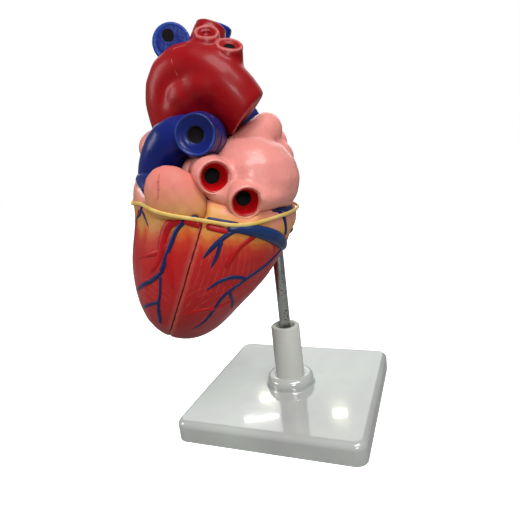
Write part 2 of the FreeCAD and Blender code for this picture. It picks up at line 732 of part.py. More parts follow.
MITRAL = ((-25, -15, 31.0), (0.10, -0.05, 1.0))
AORTIC = ((-48.5, -5, 40.5), (-0.18, 0.33, 0.93))
TRICUSPID = ((-33, 21.5, 31.0), (0.0, 0.10, 1.0))
PULMONARY = ((-69, -6.5, 54.5), (0.04, -0.24, 0.97))
LEFT_MUSCLES = [((-24, -14, -22), (-33, -18, 8), 5.0), ((-42, -37, -24), (-36, -23, 7), 5.0)]
RIGHT_MUSCLES = [((-28, 22, -20), (-38, 20, 8), 4.2), ((-50, 36, -14), (-43, 24, 8), 4.0)]
PIN_PLACES = [(-8.0, -43.0), (-42.0, 6.0), (38.0, 6.0)]


def bored(place, axis, radius, below, above):
    """A round passage through the shoulder of the ventricles for a valve."""
    up = Vector(*axis).normalize()
    return spindle(at(*place), up, [(-below, radius), (above, radius)])


def vessel(path, radius, count=ROUND):
    return tube([(d, w, r, girth * radius) for d, w, r, girth in smooth(path, 2)], count)


def seam_depth(rise):
    """The seam's place from front to back at one height of its lower run."""
    for (deep, low), (next_deep, high) in zip(SEAM_LOWER, SEAM_LOWER[1:]):
        if low <= rise <= high:
            return deep + (next_deep - deep) * (rise - low) / (high - low)
    raise ValueError("no seam at this height")


def over_band(drop):
    """All that lies above the band's plane, lowered by a drop."""
    middle, _, _, normal = band_frame()
    return Part.makeCylinder(200, 300, middle - normal * drop, normal)


def auricle_lobe():
    centre, half_depth, half_width, half_rise, lean = LEFT_AURICLE_LOBE
    lobe = ellipsoid(centre, half_depth, half_width, half_rise, lean)
    outside = Part.makeBox(200, 100, 200, at(-100, AURICLE_BACK, 0) - Vector(0, 100, 100))
    return lobe.common(outside).common(over_band(AURICLE_DROP))


def auricle_channel():
    """The room that the left auricle needs at rest and on its way out, with the seam's gap."""
    centre, half_depth, _, half_rise, lean = LEFT_AURICLE_LOBE
    gap = size("seam_gap")
    wide = half_depth / 100 * size("heart_depth") + gap
    high = half_rise / 100 * size("heart_rise") + gap
    middle = at(centre[0], AURICLE_BACK, centre[2]) + Vector(0, gap, 0)
    turn = Rotation(Vector(0, 1, 0), lean)
    oblong = [middle + turn.multVec(Vector(wide * math.cos(k), 0, high * math.sin(k)))
              for k in (2 * math.pi * step / 36 for step in range(36))]
    way = pull_direction()
    up = Vector(way.z, 0, -way.x)
    half = max((place - middle).dot(up) for place in oblong)
    lane = [middle + up * half, middle + up * half + way * 200,
            middle - up * half + way * 200, middle - up * half]
    rooms = [Part.Face(Part.makePolygon(outline + outline[:1])).extrude(Vector(0, -100, 0))
             for outline in (oblong, lane)]
    return rooms[0].fuse(rooms[1]).common(over_band(AURICLE_DROP + gap))


def vein_rim(end, outward, front):
    """The rim of the atrium round a lung vein, from its root to a distance past its face."""
    rim = size("vein_radius") + size("vein_rim")
    return spindle(at(*end), Vector(*outward), [(-VEIN_LENGTH, rim), (front, rim)])


def rod_fit(extra, low, high):
    return Part.makeCylinder(size("rod_diameter") / 2 + size("rod_clearance") + extra,
                             high - low, Vector(0, 0, low))


def make_ventricles():
    """Both ventricle walls as one block, hollowed, with the passages of the four valves."""
    block = ventricle_block().cut([vein_rim(*vein, 4.0) for vein in LEFT_VEINS.values()])
    rooms = [chamber(LEFT_CHAMBER, LEFT_FLOOR, LEFT_ROOF),
             chamber(RIGHT_CHAMBER, RIGHT_FLOOR, RIGHT_ROOF)]
    passages = [bored(*MITRAL, size("inlet_valve_radius"), 6, 26),
                bored(*AORTIC, size("outlet_valve_radius"), 14, 20),
                bored(*TRICUSPID, size("tricuspid_radius"), 6, 26),
                bored(*PULMONARY, size("outlet_valve_radius"), 16, 12)]
    depth = size("socket_depth")
    socket_room = rod_fit(size("socket_wall"), -60, depth + size("socket_wall"))
    walls = biggest(block.cut(rooms + passages + [socket_room]))
    socket = biggest(socket_room.common(block).cut(rod_fit(0, -60, depth)))
    return block, walls, socket


def carve(form, neighbours, hollows=()):
    """A form less the forms of its neighbours and its own hollows."""
    near = [other for other in neighbours if other.BoundBox.intersect(form.BoundBox)]
    return biggest(form.cut(near + list(hollows)))


def make_walls(block, walls, channel):
    """The rear heart, the front wall that pulls away from it, and the pins between them."""
    way = pull_direction()
    shift = way * size("seam_gap") / 2
    root, reach = size("pin_root"), size("pin_reach")
    pin_radius, clearance = size("pin_radius"), size("pin_clearance")
    pins, holes = [], []
    for width, rise in PIN_PLACES:
        start = at(seam_depth(rise), width, rise) - way * root
        pins.append(Part.makeCylinder(pin_radius, root + reach, start, way))
        holes.append(Part.makeCylinder(pin_radius + clearance, root + reach + 2 * clearance,
                                       start, way))
    rear_wall = biggest(walls.cut([front_space(shift * -1), channel] + pins))
    front_wall = biggest(walls.common(front_space(shift)).cut(holes))
    heart_piece("rear_heart_wall", rear_wall)
    heart_piece("front_heart_wall", front_wall)
    heart_piece("register_pins", Part.makeCompound(pins))
    heart_piece("left_auricle", biggest(auricle_lobe().cut(front_wall)))
    return rear_wall


def make_vessels(taken):
    """The pulmonary trunk and the aorta, each with its branches and hollowed ends."""
    trunk = union([vessel(TRUNK_PATH, size("trunk_radius")),
                   stub(*BRANCH_ENDS, size("branch_radius"))])
    foot, end = BRANCH_ENDS
    hollows = [mouth(end, at(*end) - at(*foot), size("branch_radius") - 2.6, 1.4),
               mouth(TRUNK_PATH[-1][:3], (0.15, 1, 0.05), size("trunk_radius") * 0.6)]
    heart_piece("pulmonary_trunk", carve(trunk, taken, hollows))
    taken.append(trunk)

    arch = [vessel(AORTA_PATH, size("aorta_radius")), ellipsoid(*AORTA_WEB)]
    ends = [mouth(*AORTA_END, size("aorta_radius") - 3)]
    for foot, end, low_radius, end_radius in ARCH_BRANCHES:
        arch.append(stub(foot, end, low_radius, end_radius))
        ends.append(mouth(end, at(*end) - at(*foot), end_radius - 1.6))
    aorta = union(arch)
    heart_piece("aorta", carve(aorta, taken, ends))
    taken.append(aorta)


def make_left_atrium(taken, channel):
    """The left atrium with its four veins: a rim of the atrium round a red cup for each."""
    radius = size("vein_radius")
    veins, bores = [], []
    for name, (end, outward) in list(LEFT_VEINS.items()) + list(RIGHT_VEINS.items()):
        out = Vector(*outward).normalize()
        face = at(*end)
        rim = radius + size("vein_rim")
        veins.append(spindle(face, out, [(-VEIN_LENGTH, rim), (-1.2, rim), (0, rim - 0.8)]))
        cup = spindle(face, out, [(-CUP_DEPTH, radius), (-0.6, radius)])
        bores.append(spindle(face, out, [(-CUP_DEPTH, radius), (2.0, radius)]))
        heart_piece(name, carve(cup, [taken[0], channel],
                                [mouth(end, outward, radius - 0.2, CUP_DISH)]))
    lobes = [ellipsoid(*lobe) for lobe in ATRIUM_LOBES]
    ridges = []
    for foot, end, ridge_radius in ATRIUM_RIDGES:
        ridges.append(stub(foot, end, ridge_radius))
        ridges.append(knob(end, ridge_radius))
    atrium = union(lobes + ridges + veins)
    heart_piece("left_atrium", carve(atrium, taken, bores + [channel]))
    taken.append(atrium)


def make_right_side(taken):
    """Both hollow veins, the right atrium between them and its auricle."""
    end = CAVA_PATH[-1][:3]
    before = CAVA_PATH[-2][:3]
    foot, branch_end = CAVA_BRANCH
    wide = size("cava_radius") - 2
    cava = union([vessel(CAVA_PATH, size("cava_radius")),
                  stub(foot, branch_end, size("cava_radius"))])
    hollows = [mouth(end, at(*end) - at(*before), wide),
               mouth(branch_end, at(*branch_end) - at(*foot), wide)]
    heart_piece("superior_vena_cava", carve(cava, taken, hollows))
    taken.append(cava)

    top, mouth_end = LOWER_CAVA_ENDS
    lower = stub(top, mouth_end, size("lower_cava_radius"))
    hollow = mouth(mouth_end, at(*mouth_end) - at(*top), size("lower_cava_radius") - 2)
    heart_piece("inferior_vena_cava", carve(lower, taken, [hollow]))
    taken.append(lower)

    atrium = union([ellipsoid(*lobe) for lobe in RIGHT_ATRIUM_LOBES])
    heart_piece("right_atrium", carve(atrium, taken))
    taken.append(atrium)
    auricle = union([ellipsoid(*lobe) for lobe in RIGHT_AURICLE_LOBES])
    heart_piece("right_auricle", carve(auricle, taken))
    taken.append(auricle)


def make_groove(taken):
    """The rubber band round the groove, and the coronary sinus that makes room for it."""
    crossed = taken + [auricle_lobe()]
    heart_piece("rubber_band", rubber_band(crossed))
    room = rubber_band(crossed, size("seam_gap"))
    sinus = vessel(SINUS_PATH, size("sinus_radius"), 10)
    heart_piece("coronary_sinus", carve(sinus, taken, [rod_fit(0.4, -60, 30), room]))


def make_insides(rear_wall):
    """The valves in their passages, the muscles on the walls and the cords between them."""
    inlet = inlet_valve(*MITRAL, size("inlet_valve_radius"), 2, 0)
    tricuspid = inlet_valve(*TRICUSPID, size("tricuspid_radius"), 3, 30)
    heart_piece("mitral_valve", inlet)
    heart_piece("tricuspid_valve", tricuspid)
    heart_piece("aortic_valve", outlet_valve(*AORTIC, size("outlet_valve_radius")))
    heart_piece("pulmonary_valve", outlet_valve(*PULMONARY, size("outlet_valve_radius")))
    for label, places, valve, valve_place, spread in (
            ("left", LEFT_MUSCLES, inlet, MITRAL[0], 4.2),
            ("right", RIGHT_MUSCLES, tricuspid, TRICUSPID[0], 4.6)):
        muscles, strings = [], []
        rim = at(*valve_place) - Vector(0, 0, size("inlet_leaflet_drop") - 1.2)
        for foot, tip, wide in places:
            muscle = biggest(papillary(foot, tip, wide).cut(rear_wall))
            muscles.append(muscle)
            ends = [rim + Vector(spread * math.cos(k), spread * math.sin(k), 0)
                    for k in (0.5, 2.1, 3.7, 5.3)]
            for string in cords(tip, ends):
                strings.append(biggest(string.cut([muscle, valve])))
        heart_piece(label + "_papillary_muscles", Part.makeCompound(muscles))
        heart_piece(label + "_tendinous_cords", Part.makeCompound(strings))


def make_heart():
    block, walls, socket = make_ventricles()
    channel = auricle_channel()
    rear_wall = make_walls(block, walls, channel)
    heart_piece("rod_socket", socket)
    taken = [block]
    make_vessels(taken)
    make_left_atrium(taken, channel)
    make_right_side(taken)
    make_insides(rear_wall)
    make_groove(taken)


make_base()
make_sleeve()
make_rod()
make_heart()
doc.recompute()

for item in doc.Objects:
    if "Invalid" in item.State or "Error" in item.State:
        raise RuntimeError("%s did not recompute: %s" % (item.Label, item.State))
for part in SUB_PARTS:
    if part.Shape.isNull() or not part.Shape.isValid():
        raise RuntimeError(part.Label + " has no valid shape")

os.makedirs("parts", exist_ok=True)
for part in SUB_PARTS:
    part.Shape.exportStep("parts/%s.step" % part.Label)
print("%d sub-parts written" % len(SUB_PARTS))
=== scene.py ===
# %% [markdown]
# # A painted heart for the classroom
# A teaching heart is a family of soft plastic mouldings, glued together, painted by hand and
# lacquered. It sits on a steel rod in a square base, and its front wall comes away along an oblique
# seam, held only by a rubber band. This lesson dresses a measured frame: the frame gives the place
# and the size of every piece, and the cells below give each piece its soft moulded skin, its
# painted vessels and its finish.

# %% Open the frame
import bmesh
import bpy
import math
from mathutils import Matrix, Vector
from mathutils.bvhtree import BVHTree


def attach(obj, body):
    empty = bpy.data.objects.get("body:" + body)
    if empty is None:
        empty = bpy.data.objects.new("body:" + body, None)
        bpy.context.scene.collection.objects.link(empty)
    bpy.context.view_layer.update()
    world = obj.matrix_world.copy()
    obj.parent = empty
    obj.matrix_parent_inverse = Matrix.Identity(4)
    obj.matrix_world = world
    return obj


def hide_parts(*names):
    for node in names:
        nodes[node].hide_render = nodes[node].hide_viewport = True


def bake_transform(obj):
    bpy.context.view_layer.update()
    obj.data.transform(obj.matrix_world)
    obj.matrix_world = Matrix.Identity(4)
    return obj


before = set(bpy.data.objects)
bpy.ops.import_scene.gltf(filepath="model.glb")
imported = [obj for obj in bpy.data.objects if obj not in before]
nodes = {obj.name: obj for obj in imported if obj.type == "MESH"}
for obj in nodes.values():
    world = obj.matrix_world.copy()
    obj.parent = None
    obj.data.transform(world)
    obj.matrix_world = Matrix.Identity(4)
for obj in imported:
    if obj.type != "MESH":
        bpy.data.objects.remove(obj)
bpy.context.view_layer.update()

# %% [markdown]
# The heart is easiest to think of in its own directions: towards its back, towards its right side
# and up, counted in millimetres from the place where the rod enters it. One small function turns
# such a place into the metres of the frame, so that every later cell can speak like an anatomist.

# %% Places on the heart
HEART_TURN = math.radians(22.18)
HEART_SEAT = 0.108


def way(depth, width, rise):
    """A direction or distance on the heart, in millimetres, turned into the frame's metres."""
    c, s = math.cos(HEART_TURN), math.sin(HEART_TURN)
    return Vector((depth * c - width * s, depth * s + width * c, rise)) / 1000


def spot(depth, width, rise):
    """A place on the heart: to its back, to its right side and up from the rod's entry."""
    return way(depth, width, rise) + Vector((0, 0, HEART_SEAT))


print("the rod enters at", tuple(round(v, 3) for v in spot(0, 0, 0)))

# %% [markdown]
# The camera stands a little above the heart and looks down at the base, tilted a few degrees, as a
# hand-held shot is. A camera looks along its own -Z, so it is first laid level, then turned about
# the upright, and last rolled about its own line of sight.

# %% Camera
LENS, SENSOR = 30.96, 36.0
CAMERA_PLACE = (0.0968, -0.2692, 0.1729)
LOOKS_DOWN = math.radians(13.57)
TILT = math.radians(-6.59)

camera_data = bpy.data.cameras.new("desk_camera")
camera_data.lens, camera_data.sensor_width = LENS, SENSOR
camera = bpy.data.objects.new("desk_camera", camera_data)
turn = Matrix.Rotation(HEART_TURN, 4, "Z")
nod = Matrix.Rotation(math.pi / 2 - LOOKS_DOWN, 4, "X")
roll = Matrix.Rotation(TILT, 4, "Z")
CAMERA_POSE = Matrix.Translation(CAMERA_PLACE) @ turn @ nod @ roll
camera.matrix_world = CAMERA_POSE
bpy.context.scene.collection.objects.link(camera)
bpy.context.scene.camera = camera
print("camera", round(camera.location.length, 3), "m from the base's middle")

# %% [markdown]
# Gloss paint lives from what it mirrors. A large soft box above the model gives the broad sheen on
# its upper forms, two small lamps behind it leave the bright spots on the base, and the room itself
# is kept fairly dark so that the paint stays deep. The camera sees a white backdrop instead of that
# room, because the backdrop's light path is told apart from the others.

# %% Light and floor
scene = bpy.context.scene
scene.view_settings.view_transform = "Standard"
surroundings = bpy.data.worlds.new("pale_room")
surroundings.use_nodes = True
room = surroundings.node_tree
room_light = room.nodes["Background"]
room_light.inputs["Color"].default_value = (0.93, 0.97, 1.0, 1)
room_light.inputs["Strength"].default_value = 0.22
backdrop = room.nodes.new("ShaderNodeBackground")
backdrop.inputs["Color"].default_value = (1.0, 1.0, 1.0, 1)
seen = room.nodes.new("ShaderNodeLightPath")
chooser = room.nodes.new("ShaderNodeMixShader")
room.links.new(seen.outputs["Is Camera Ray"], chooser.inputs[0])
room.links.new(room_light.outputs[0], chooser.inputs[1])
room.links.new(backdrop.outputs[0], chooser.inputs[2])
room.links.new(chooser.outputs[0], room.nodes["World Output"].inputs["Surface"])
scene.world = surroundings


def soft_box(name, place, target, wide, high, watts, colour=(1, 1, 1)):
    """A rectangular light that faces a place."""
    data = bpy.data.lights.new(name, "AREA")
    data.shape = "RECTANGLE"
    data.size, data.size_y, data.energy, data.color = wide, high, watts, colour
    lamp = bpy.data.objects.new(name, data)
    lamp.location = place
    lamp.rotation_euler = (Vector(place) - Vector(target)).to_track_quat("Z", "Y").to_euler()
    scene.collection.objects.link(lamp)
    return lamp


heart_middle = spot(-40, 0, 40)
soft_box("overhead_box", (0.45, -0.35, 1.25), heart_middle, 0.8, 0.6, 13)
soft_box("front_box", (0.55, -0.90, 0.60), heart_middle, 0.30, 0.22, 4.2)
soft_box("side_box", (-0.95, -0.45, 0.60), heart_middle, 0.35, 0.6, 4.2, (1.0, 0.98, 0.95))
LAMP_YELLOW = (1.0, 1.0, 0.72)
SMALL_WATTS = 0.035
soft_box("lamp_left", (-0.316, 0.690, 0.472), (-0.01, -0.02, 0.013), 0.040, 0.016, SMALL_WATTS, LAMP_YELLOW)
soft_box("lamp_right", (-0.133, 0.703, 0.505), (0.04, -0.03, 0.013), 0.034, 0.018, SMALL_WATTS, LAMP_YELLOW)
soft_box("window", (-0.319, 0.642, 0.502), (-0.02, -0.05, 0.013), 0.085, 0.008, SMALL_WATTS)
soft_box("back_wall", (-0.50, 1.30, 0.78), (0, 0, 0.02), 1.7, 0.9, 6.5, (0.96, 1.0, 0.97))

floor_mesh = bpy.data.meshes.new("pale_floor")
sweep = bmesh.new()
bmesh.ops.create_grid(sweep, x_segments=2, y_segments=2, size=3.0)
sweep.to_mesh(floor_mesh)
sweep.free()
floor = bpy.data.objects.new("pale_floor", floor_mesh)
scene.collection.objects.link(floor)
paper = bpy.data.materials.new("pale_paper")
paper.use_nodes = True
paper_tree = paper.node_tree
paper_shader = paper_tree.nodes["Principled BSDF"]
paper_shader.inputs["Base Color"].default_value = (0.92, 0.93, 0.93, 1)
paper_shader.inputs["Roughness"].default_value = 0.95
paper_shader.inputs["Specular IOR Level"].default_value = 0.1
paper_shader.inputs["Emission Color"].default_value = (1, 1, 1, 1)
paper_shader.inputs["Emission Strength"].default_value = 0.80
dull = paper_tree.nodes.new("ShaderNodeBsdfDiffuse")
dull.inputs["Color"].default_value = (0.30, 0.30, 0.29, 1)
paper_path = paper_tree.nodes.new("ShaderNodeLightPath")
paper_mix = paper_tree.nodes.new("ShaderNodeMixShader")
paper_tree.links.new(paper_path.outputs["Is Camera Ray"], paper_mix.inputs[0])
paper_tree.links.new(dull.outputs[0], paper_mix.inputs[1])
paper_tree.links.new(paper_shader.outputs[0], paper_mix.inputs[2])
paper_tree.links.new(paper_mix.outputs[0], paper_tree.nodes["Material Output"].inputs["Surface"])
floor_mesh.materials.append(paper)

# %% [markdown]
# ## Finishes
# All painted pieces share three effects, so each is a node group that is built once: clouds of a
# second tone where the brush left more or less paint, the fine orange-peel of the lacquer, and a
# ring round the rim of a cut vessel, which is worn paint on the crimson aorta and a painted highlight
# on the blue vessels. A group hands out colours, masks and heights only; every material keeps its own shader.

# %% Tools for node groups
def new_group(name, inputs, outputs):
    """An empty shader group with named sockets, and its input and output nodes."""
    group = bpy.data.node_groups.new(name, "ShaderNodeTree")
    for label, kind, value in inputs:
        socket = group.interface.new_socket(name=label, in_out="INPUT", socket_type=kind)
        if value is not None:
            socket.default_value = value
    for label, kind in outputs:
        group.interface.new_socket(name=label, in_out="OUTPUT", socket_type=kind)
    return group, group.nodes.new("NodeGroupInput"), group.nodes.new("NodeGroupOutput")


def put(tree, kind, **settings):
    """A new node in a tree, with its properties and its unlinked inputs set."""
    node = tree.nodes.new(kind)
    for key, value in settings.items():
        if hasattr(node, key):
            setattr(node, key, value)
        else:
            node.inputs[key.replace("_", " ")].default_value = value
    return node


def calculate(tree, operation, first, second=None, clamp=False):
    """A Math node on sockets or plain numbers."""
    node = tree.nodes.new("ShaderNodeMath")
    node.operation, node.use_clamp = operation, clamp
    for index, value in enumerate((first, second)):
        if hasattr(value, "links"):
            tree.links.new(value, node.inputs[index])
        elif value is not None:
            node.inputs[index].default_value = value
    return node.outputs[0]


def steer(tree, operation, first, second=None):
    """A Vector Math node on sockets or plain vectors."""
    node = tree.nodes.new("ShaderNodeVectorMath")
    node.operation = operation
    for index, value in enumerate((first, second)):
        if hasattr(value, "links"):
            tree.links.new(value, node.inputs[index])
        elif value is not None:
            node.inputs[index].default_value = value
    return node


def blend_colours(tree, share, first, second):
    """A colour between two, by a share from 0 to 1."""
    node = tree.nodes.new("ShaderNodeMix")
    node.data_type = "RGBA"
    for socket, value in ((node.inputs[0], share), (node.inputs[6], first), (node.inputs[7], second)):
        if hasattr(value, "links"):
            tree.links.new(value, socket)
        elif isinstance(value, (int, float)):
            socket.default_value = value
        else:
            socket.default_value = (*value[:3], 1)
    return node.outputs[2]


def new_material(name):
    """An empty painted material: itself, its tree, its shader and the place on the object."""
    material = bpy.data.materials.new(name)
    material.use_nodes = True
    tree = material.node_tree
    place = tree.nodes.new("ShaderNodeTexCoord").outputs["Object"]
    return material, tree, tree.nodes["Principled BSDF"], place


def use_group(tree, group, place, **values):
    """A node group in a tree, fed with the place and with plain values."""
    node = put(tree, "ShaderNodeGroup", node_tree=group, **values)
    tree.links.new(place, node.inputs["Vector"])
    return node


def dented(tree, shader, height, strength):
    """Gives a shader's surface small dents from a height."""
    dents = put(tree, "ShaderNodeBump", Strength=strength, Distance=DENT_DEPTH)
    tree.links.new(height, dents.inputs["Height"])
    tree.links.new(dents.outputs[0], shader.inputs["Normal"])


DENT_DEPTH = 0.0006
print("helpers for groups are ready")

# %% Clouds of paint
clouds, clouds_in, clouds_out = new_group("Clouds of paint", [
    ("Vector", "NodeSocketVector", None), ("Colour", "NodeSocketColor", (0.5, 0.5, 0.5, 1)),
    ("Second", "NodeSocketColor", (0.2, 0.2, 0.2, 1)), ("Scale", "NodeSocketFloat", 40.0),
    ("Share", "NodeSocketFloat", 0.5)], [("Colour", "NodeSocketColor")])
drift = put(clouds, "ShaderNodeTexNoise", Detail=3.0, Roughness=0.55)
clouds.links.new(clouds_in.outputs["Vector"], drift.inputs["Vector"])
clouds.links.new(clouds_in.outputs["Scale"], drift.inputs["Scale"])
spread = put(clouds, "ShaderNodeMapRange", From_Min=0.36, From_Max=0.68)
clouds.links.new(drift.outputs[0], spread.inputs["Value"])
patch = calculate(clouds, "MULTIPLY", spread.outputs[0], clouds_in.outputs["Share"], clamp=True)
tone = blend_colours(clouds, patch, clouds_in.outputs["Colour"], clouds_in.outputs["Second"])
clouds.links.new(tone, clouds_out.inputs["Colour"])
print("group:", clouds.name)

# %% Lacquer
lacquer, lacquer_in, lacquer_out = new_group("Lacquer", [
    ("Vector", "NodeSocketVector", None), ("Peel", "NodeSocketFloat", 420.0),
    ("Waves", "NodeSocketFloat", 60.0), ("Gloss", "NodeSocketFloat", 0.22)],
    [("Height", "NodeSocketFloat"), ("Roughness", "NodeSocketFloat")])
peel = put(lacquer, "ShaderNodeTexNoise", Detail=2.0, Roughness=0.5)
wave = put(lacquer, "ShaderNodeTexNoise", Detail=2.0, Roughness=0.5)
for texture, pitch in ((peel, "Peel"), (wave, "Waves")):
    lacquer.links.new(lacquer_in.outputs["Vector"], texture.inputs["Vector"])
    lacquer.links.new(lacquer_in.outputs[pitch], texture.inputs["Scale"])
relief = calculate(lacquer, "MULTIPLY", wave.outputs[0], 2.5)
relief = calculate(lacquer, "ADD", relief, peel.outputs[0])
lacquer.links.new(relief, lacquer_out.inputs["Height"])
uneven = calculate(lacquer, "MULTIPLY", wave.outputs[0], 0.16)
uneven = calculate(lacquer, "ADD", uneven, lacquer_in.outputs["Gloss"], clamp=True)
lacquer.links.new(uneven, lacquer_out.inputs["Roughness"])
print("group:", lacquer.name)

# %% Ring round a cut end, for worn paint and for painted highlight
HOLE_REACH = 0.013
wear_and_highlight_ring, ring_in, ring_out = new_group("Ring of wear and highlight", [
    ("Vector", "NodeSocketVector", None), ("Centre", "NodeSocketVector", None),
    ("Axis", "NodeSocketVector", None), ("Radius", "NodeSocketFloat", 0.008),
    ("Width", "NodeSocketFloat", 0.001)], [("Rim", "NodeSocketFloat"), ("Hole", "NodeSocketFloat")])
from_centre = steer(wear_and_highlight_ring, "SUBTRACT", ring_in.outputs["Vector"], ring_in.outputs["Centre"])
along = steer(wear_and_highlight_ring, "DOT_PRODUCT", from_centre.outputs[0], ring_in.outputs["Axis"])
shadow = steer(wear_and_highlight_ring, "SCALE", ring_in.outputs["Axis"])
wear_and_highlight_ring.links.new(along.outputs["Value"], shadow.inputs["Scale"])
across = steer(wear_and_highlight_ring, "SUBTRACT", from_centre.outputs[0], shadow.outputs[0])
reach = steer(wear_and_highlight_ring, "LENGTH", across.outputs[0]).outputs["Value"]
off_ring = calculate(wear_and_highlight_ring, "SUBTRACT", reach, ring_in.outputs["Radius"])
off_ring = calculate(wear_and_highlight_ring, "POWER", off_ring, 2.0)
off_level = calculate(wear_and_highlight_ring, "POWER", along.outputs["Value"], 2.0)
distance = calculate(wear_and_highlight_ring, "SQRT", calculate(wear_and_highlight_ring, "ADD", off_ring, off_level))
share = calculate(wear_and_highlight_ring, "DIVIDE", distance, ring_in.outputs["Width"])
rim = calculate(wear_and_highlight_ring, "SUBTRACT", 1.0, share, clamp=True)
scratch_and_glint = put(wear_and_highlight_ring, "ShaderNodeTexNoise", Scale=330.0, Detail=3.0)
wear_and_highlight_ring.links.new(ring_in.outputs["Vector"], scratch_and_glint.inputs["Vector"])
rim = calculate(wear_and_highlight_ring, "MULTIPLY", rim, calculate(wear_and_highlight_ring, "MULTIPLY", scratch_and_glint.outputs[0], 2.1))
rim = calculate(wear_and_highlight_ring, "MINIMUM", rim, 1.0, clamp=True)
wear_and_highlight_ring.links.new(rim, ring_out.inputs["Rim"])
hole_edge = put(wear_and_highlight_ring, "ShaderNodeTexNoise", Scale=260.0, Detail=1.0)
wear_and_highlight_ring.links.new(ring_in.outputs["Vector"], hole_edge.inputs["Vector"])
ragged = calculate(wear_and_highlight_ring, "MULTIPLY", hole_edge.outputs[0], 0.0007)
wide = calculate(wear_and_highlight_ring, "ADD", reach, ragged)
inside = calculate(wear_and_highlight_ring, "LESS_THAN", wide, ring_in.outputs["Radius"])
depth = calculate(wear_and_highlight_ring, "ABSOLUTE", along.outputs["Value"])
near = calculate(wear_and_highlight_ring, "LESS_THAN", depth, HOLE_REACH)
wear_and_highlight_ring.links.new(calculate(wear_and_highlight_ring, "MULTIPLY", inside, near), ring_out.inputs["Hole"])
print("group:", wear_and_highlight_ring.name)

# %% [markdown]
# The groove between atria and ventricles carries yellow fat. Everything near it is tinted by one
# measure, the height over the groove's plane, which is a little ragged because it is airbrushed.

# %% Height over the groove
GROOVE_MIDDLE = spot(-36, -4, 34.6)
GROOVE_NORMAL = way(0.146, -0.06, 1.0).normalized()
groove, groove_in, groove_out = new_group("Height over the groove", [
    ("Vector", "NodeSocketVector", None), ("Ragged", "NodeSocketFloat", 0.02)],
    [("Height", "NodeSocketFloat")])
off_middle = steer(groove, "SUBTRACT", groove_in.outputs["Vector"], tuple(GROOVE_MIDDLE))
level_over = steer(groove, "DOT_PRODUCT", off_middle.outputs[0], tuple(GROOVE_NORMAL)).outputs["Value"]
drawn_out = put(groove, "ShaderNodeMapping")
drawn_out.inputs["Scale"].default_value = (1.0, 1.0, 0.22)
groove.links.new(groove_in.outputs["Vector"], drawn_out.inputs["Vector"])
streaks = put(groove, "ShaderNodeTexNoise", Scale=70.0, Detail=3.0, Roughness=0.6)
groove.links.new(drawn_out.outputs[0], streaks.inputs["Vector"])
patches = put(groove, "ShaderNodeTexNoise", Scale=26.0, Detail=1.0)
groove.links.new(groove_in.outputs["Vector"], patches.inputs["Vector"])
TO_THE_BACK = tuple(way(1, 0.2, 0).normalized())
rearward = steer(groove, "DOT_PRODUCT", off_middle.outputs[0], TO_THE_BACK).outputs["Value"]
lean = put(groove, "ShaderNodeMapRange", From_Min=0.010, From_Max=0.045, To_Min=0.0, To_Max=0.010)
groove.links.new(rearward, lean.inputs["Value"])
level_over = calculate(groove, "ADD", level_over, lean.outputs[0])
mixed = calculate(groove, "ADD", streaks.outputs[0], patches.outputs[0])
mixed = calculate(groove, "SUBTRACT", mixed, 1.0)
mixed = calculate(groove, "MULTIPLY", mixed, groove_in.outputs["Ragged"])
groove.links.new(calculate(groove, "ADD", level_over, mixed), groove_out.inputs["Height"])
print("group:", groove.name)

# %% [markdown]
# Mould lines and creases are thin strokes between two places: a pale stroke of painted highlight
# on the aorta's flash line and a dark stroke of painted shade in the auricle's crease. Their mask is
# the distance to the line between them, so they follow the form wherever it runs.

# %% Thin stroke
stroke_group, stroke_in, stroke_out = new_group("Thin stroke", [
    ("Vector", "NodeSocketVector", None), ("From", "NodeSocketVector", None),
    ("Run", "NodeSocketVector", None), ("Width", "NodeSocketFloat", 0.0006)], [("Mask", "NodeSocketFloat")])
stroke_run = stroke_in.outputs["Run"]
from_start = steer(stroke_group, "SUBTRACT", stroke_in.outputs["Vector"], stroke_in.outputs["From"])
onward = steer(stroke_group, "DOT_PRODUCT", from_start.outputs[0], stroke_run).outputs["Value"]
whole_run = steer(stroke_group, "DOT_PRODUCT", stroke_run, stroke_run).outputs["Value"]
onward = calculate(stroke_group, "DIVIDE", onward, whole_run, clamp=True)
foot_point = steer(stroke_group, "SCALE", stroke_run)
stroke_group.links.new(onward, foot_point.inputs["Scale"])
aside = steer(stroke_group, "SUBTRACT", from_start.outputs[0], foot_point.outputs[0])
aside = steer(stroke_group, "LENGTH", aside.outputs[0]).outputs["Value"]
aside = calculate(stroke_group, "DIVIDE", aside, stroke_in.outputs["Width"])
stroke_group.links.new(calculate(stroke_group, "SUBTRACT", 1.0, aside, clamp=True), stroke_out.inputs["Mask"])
print("group:", stroke_group.name)
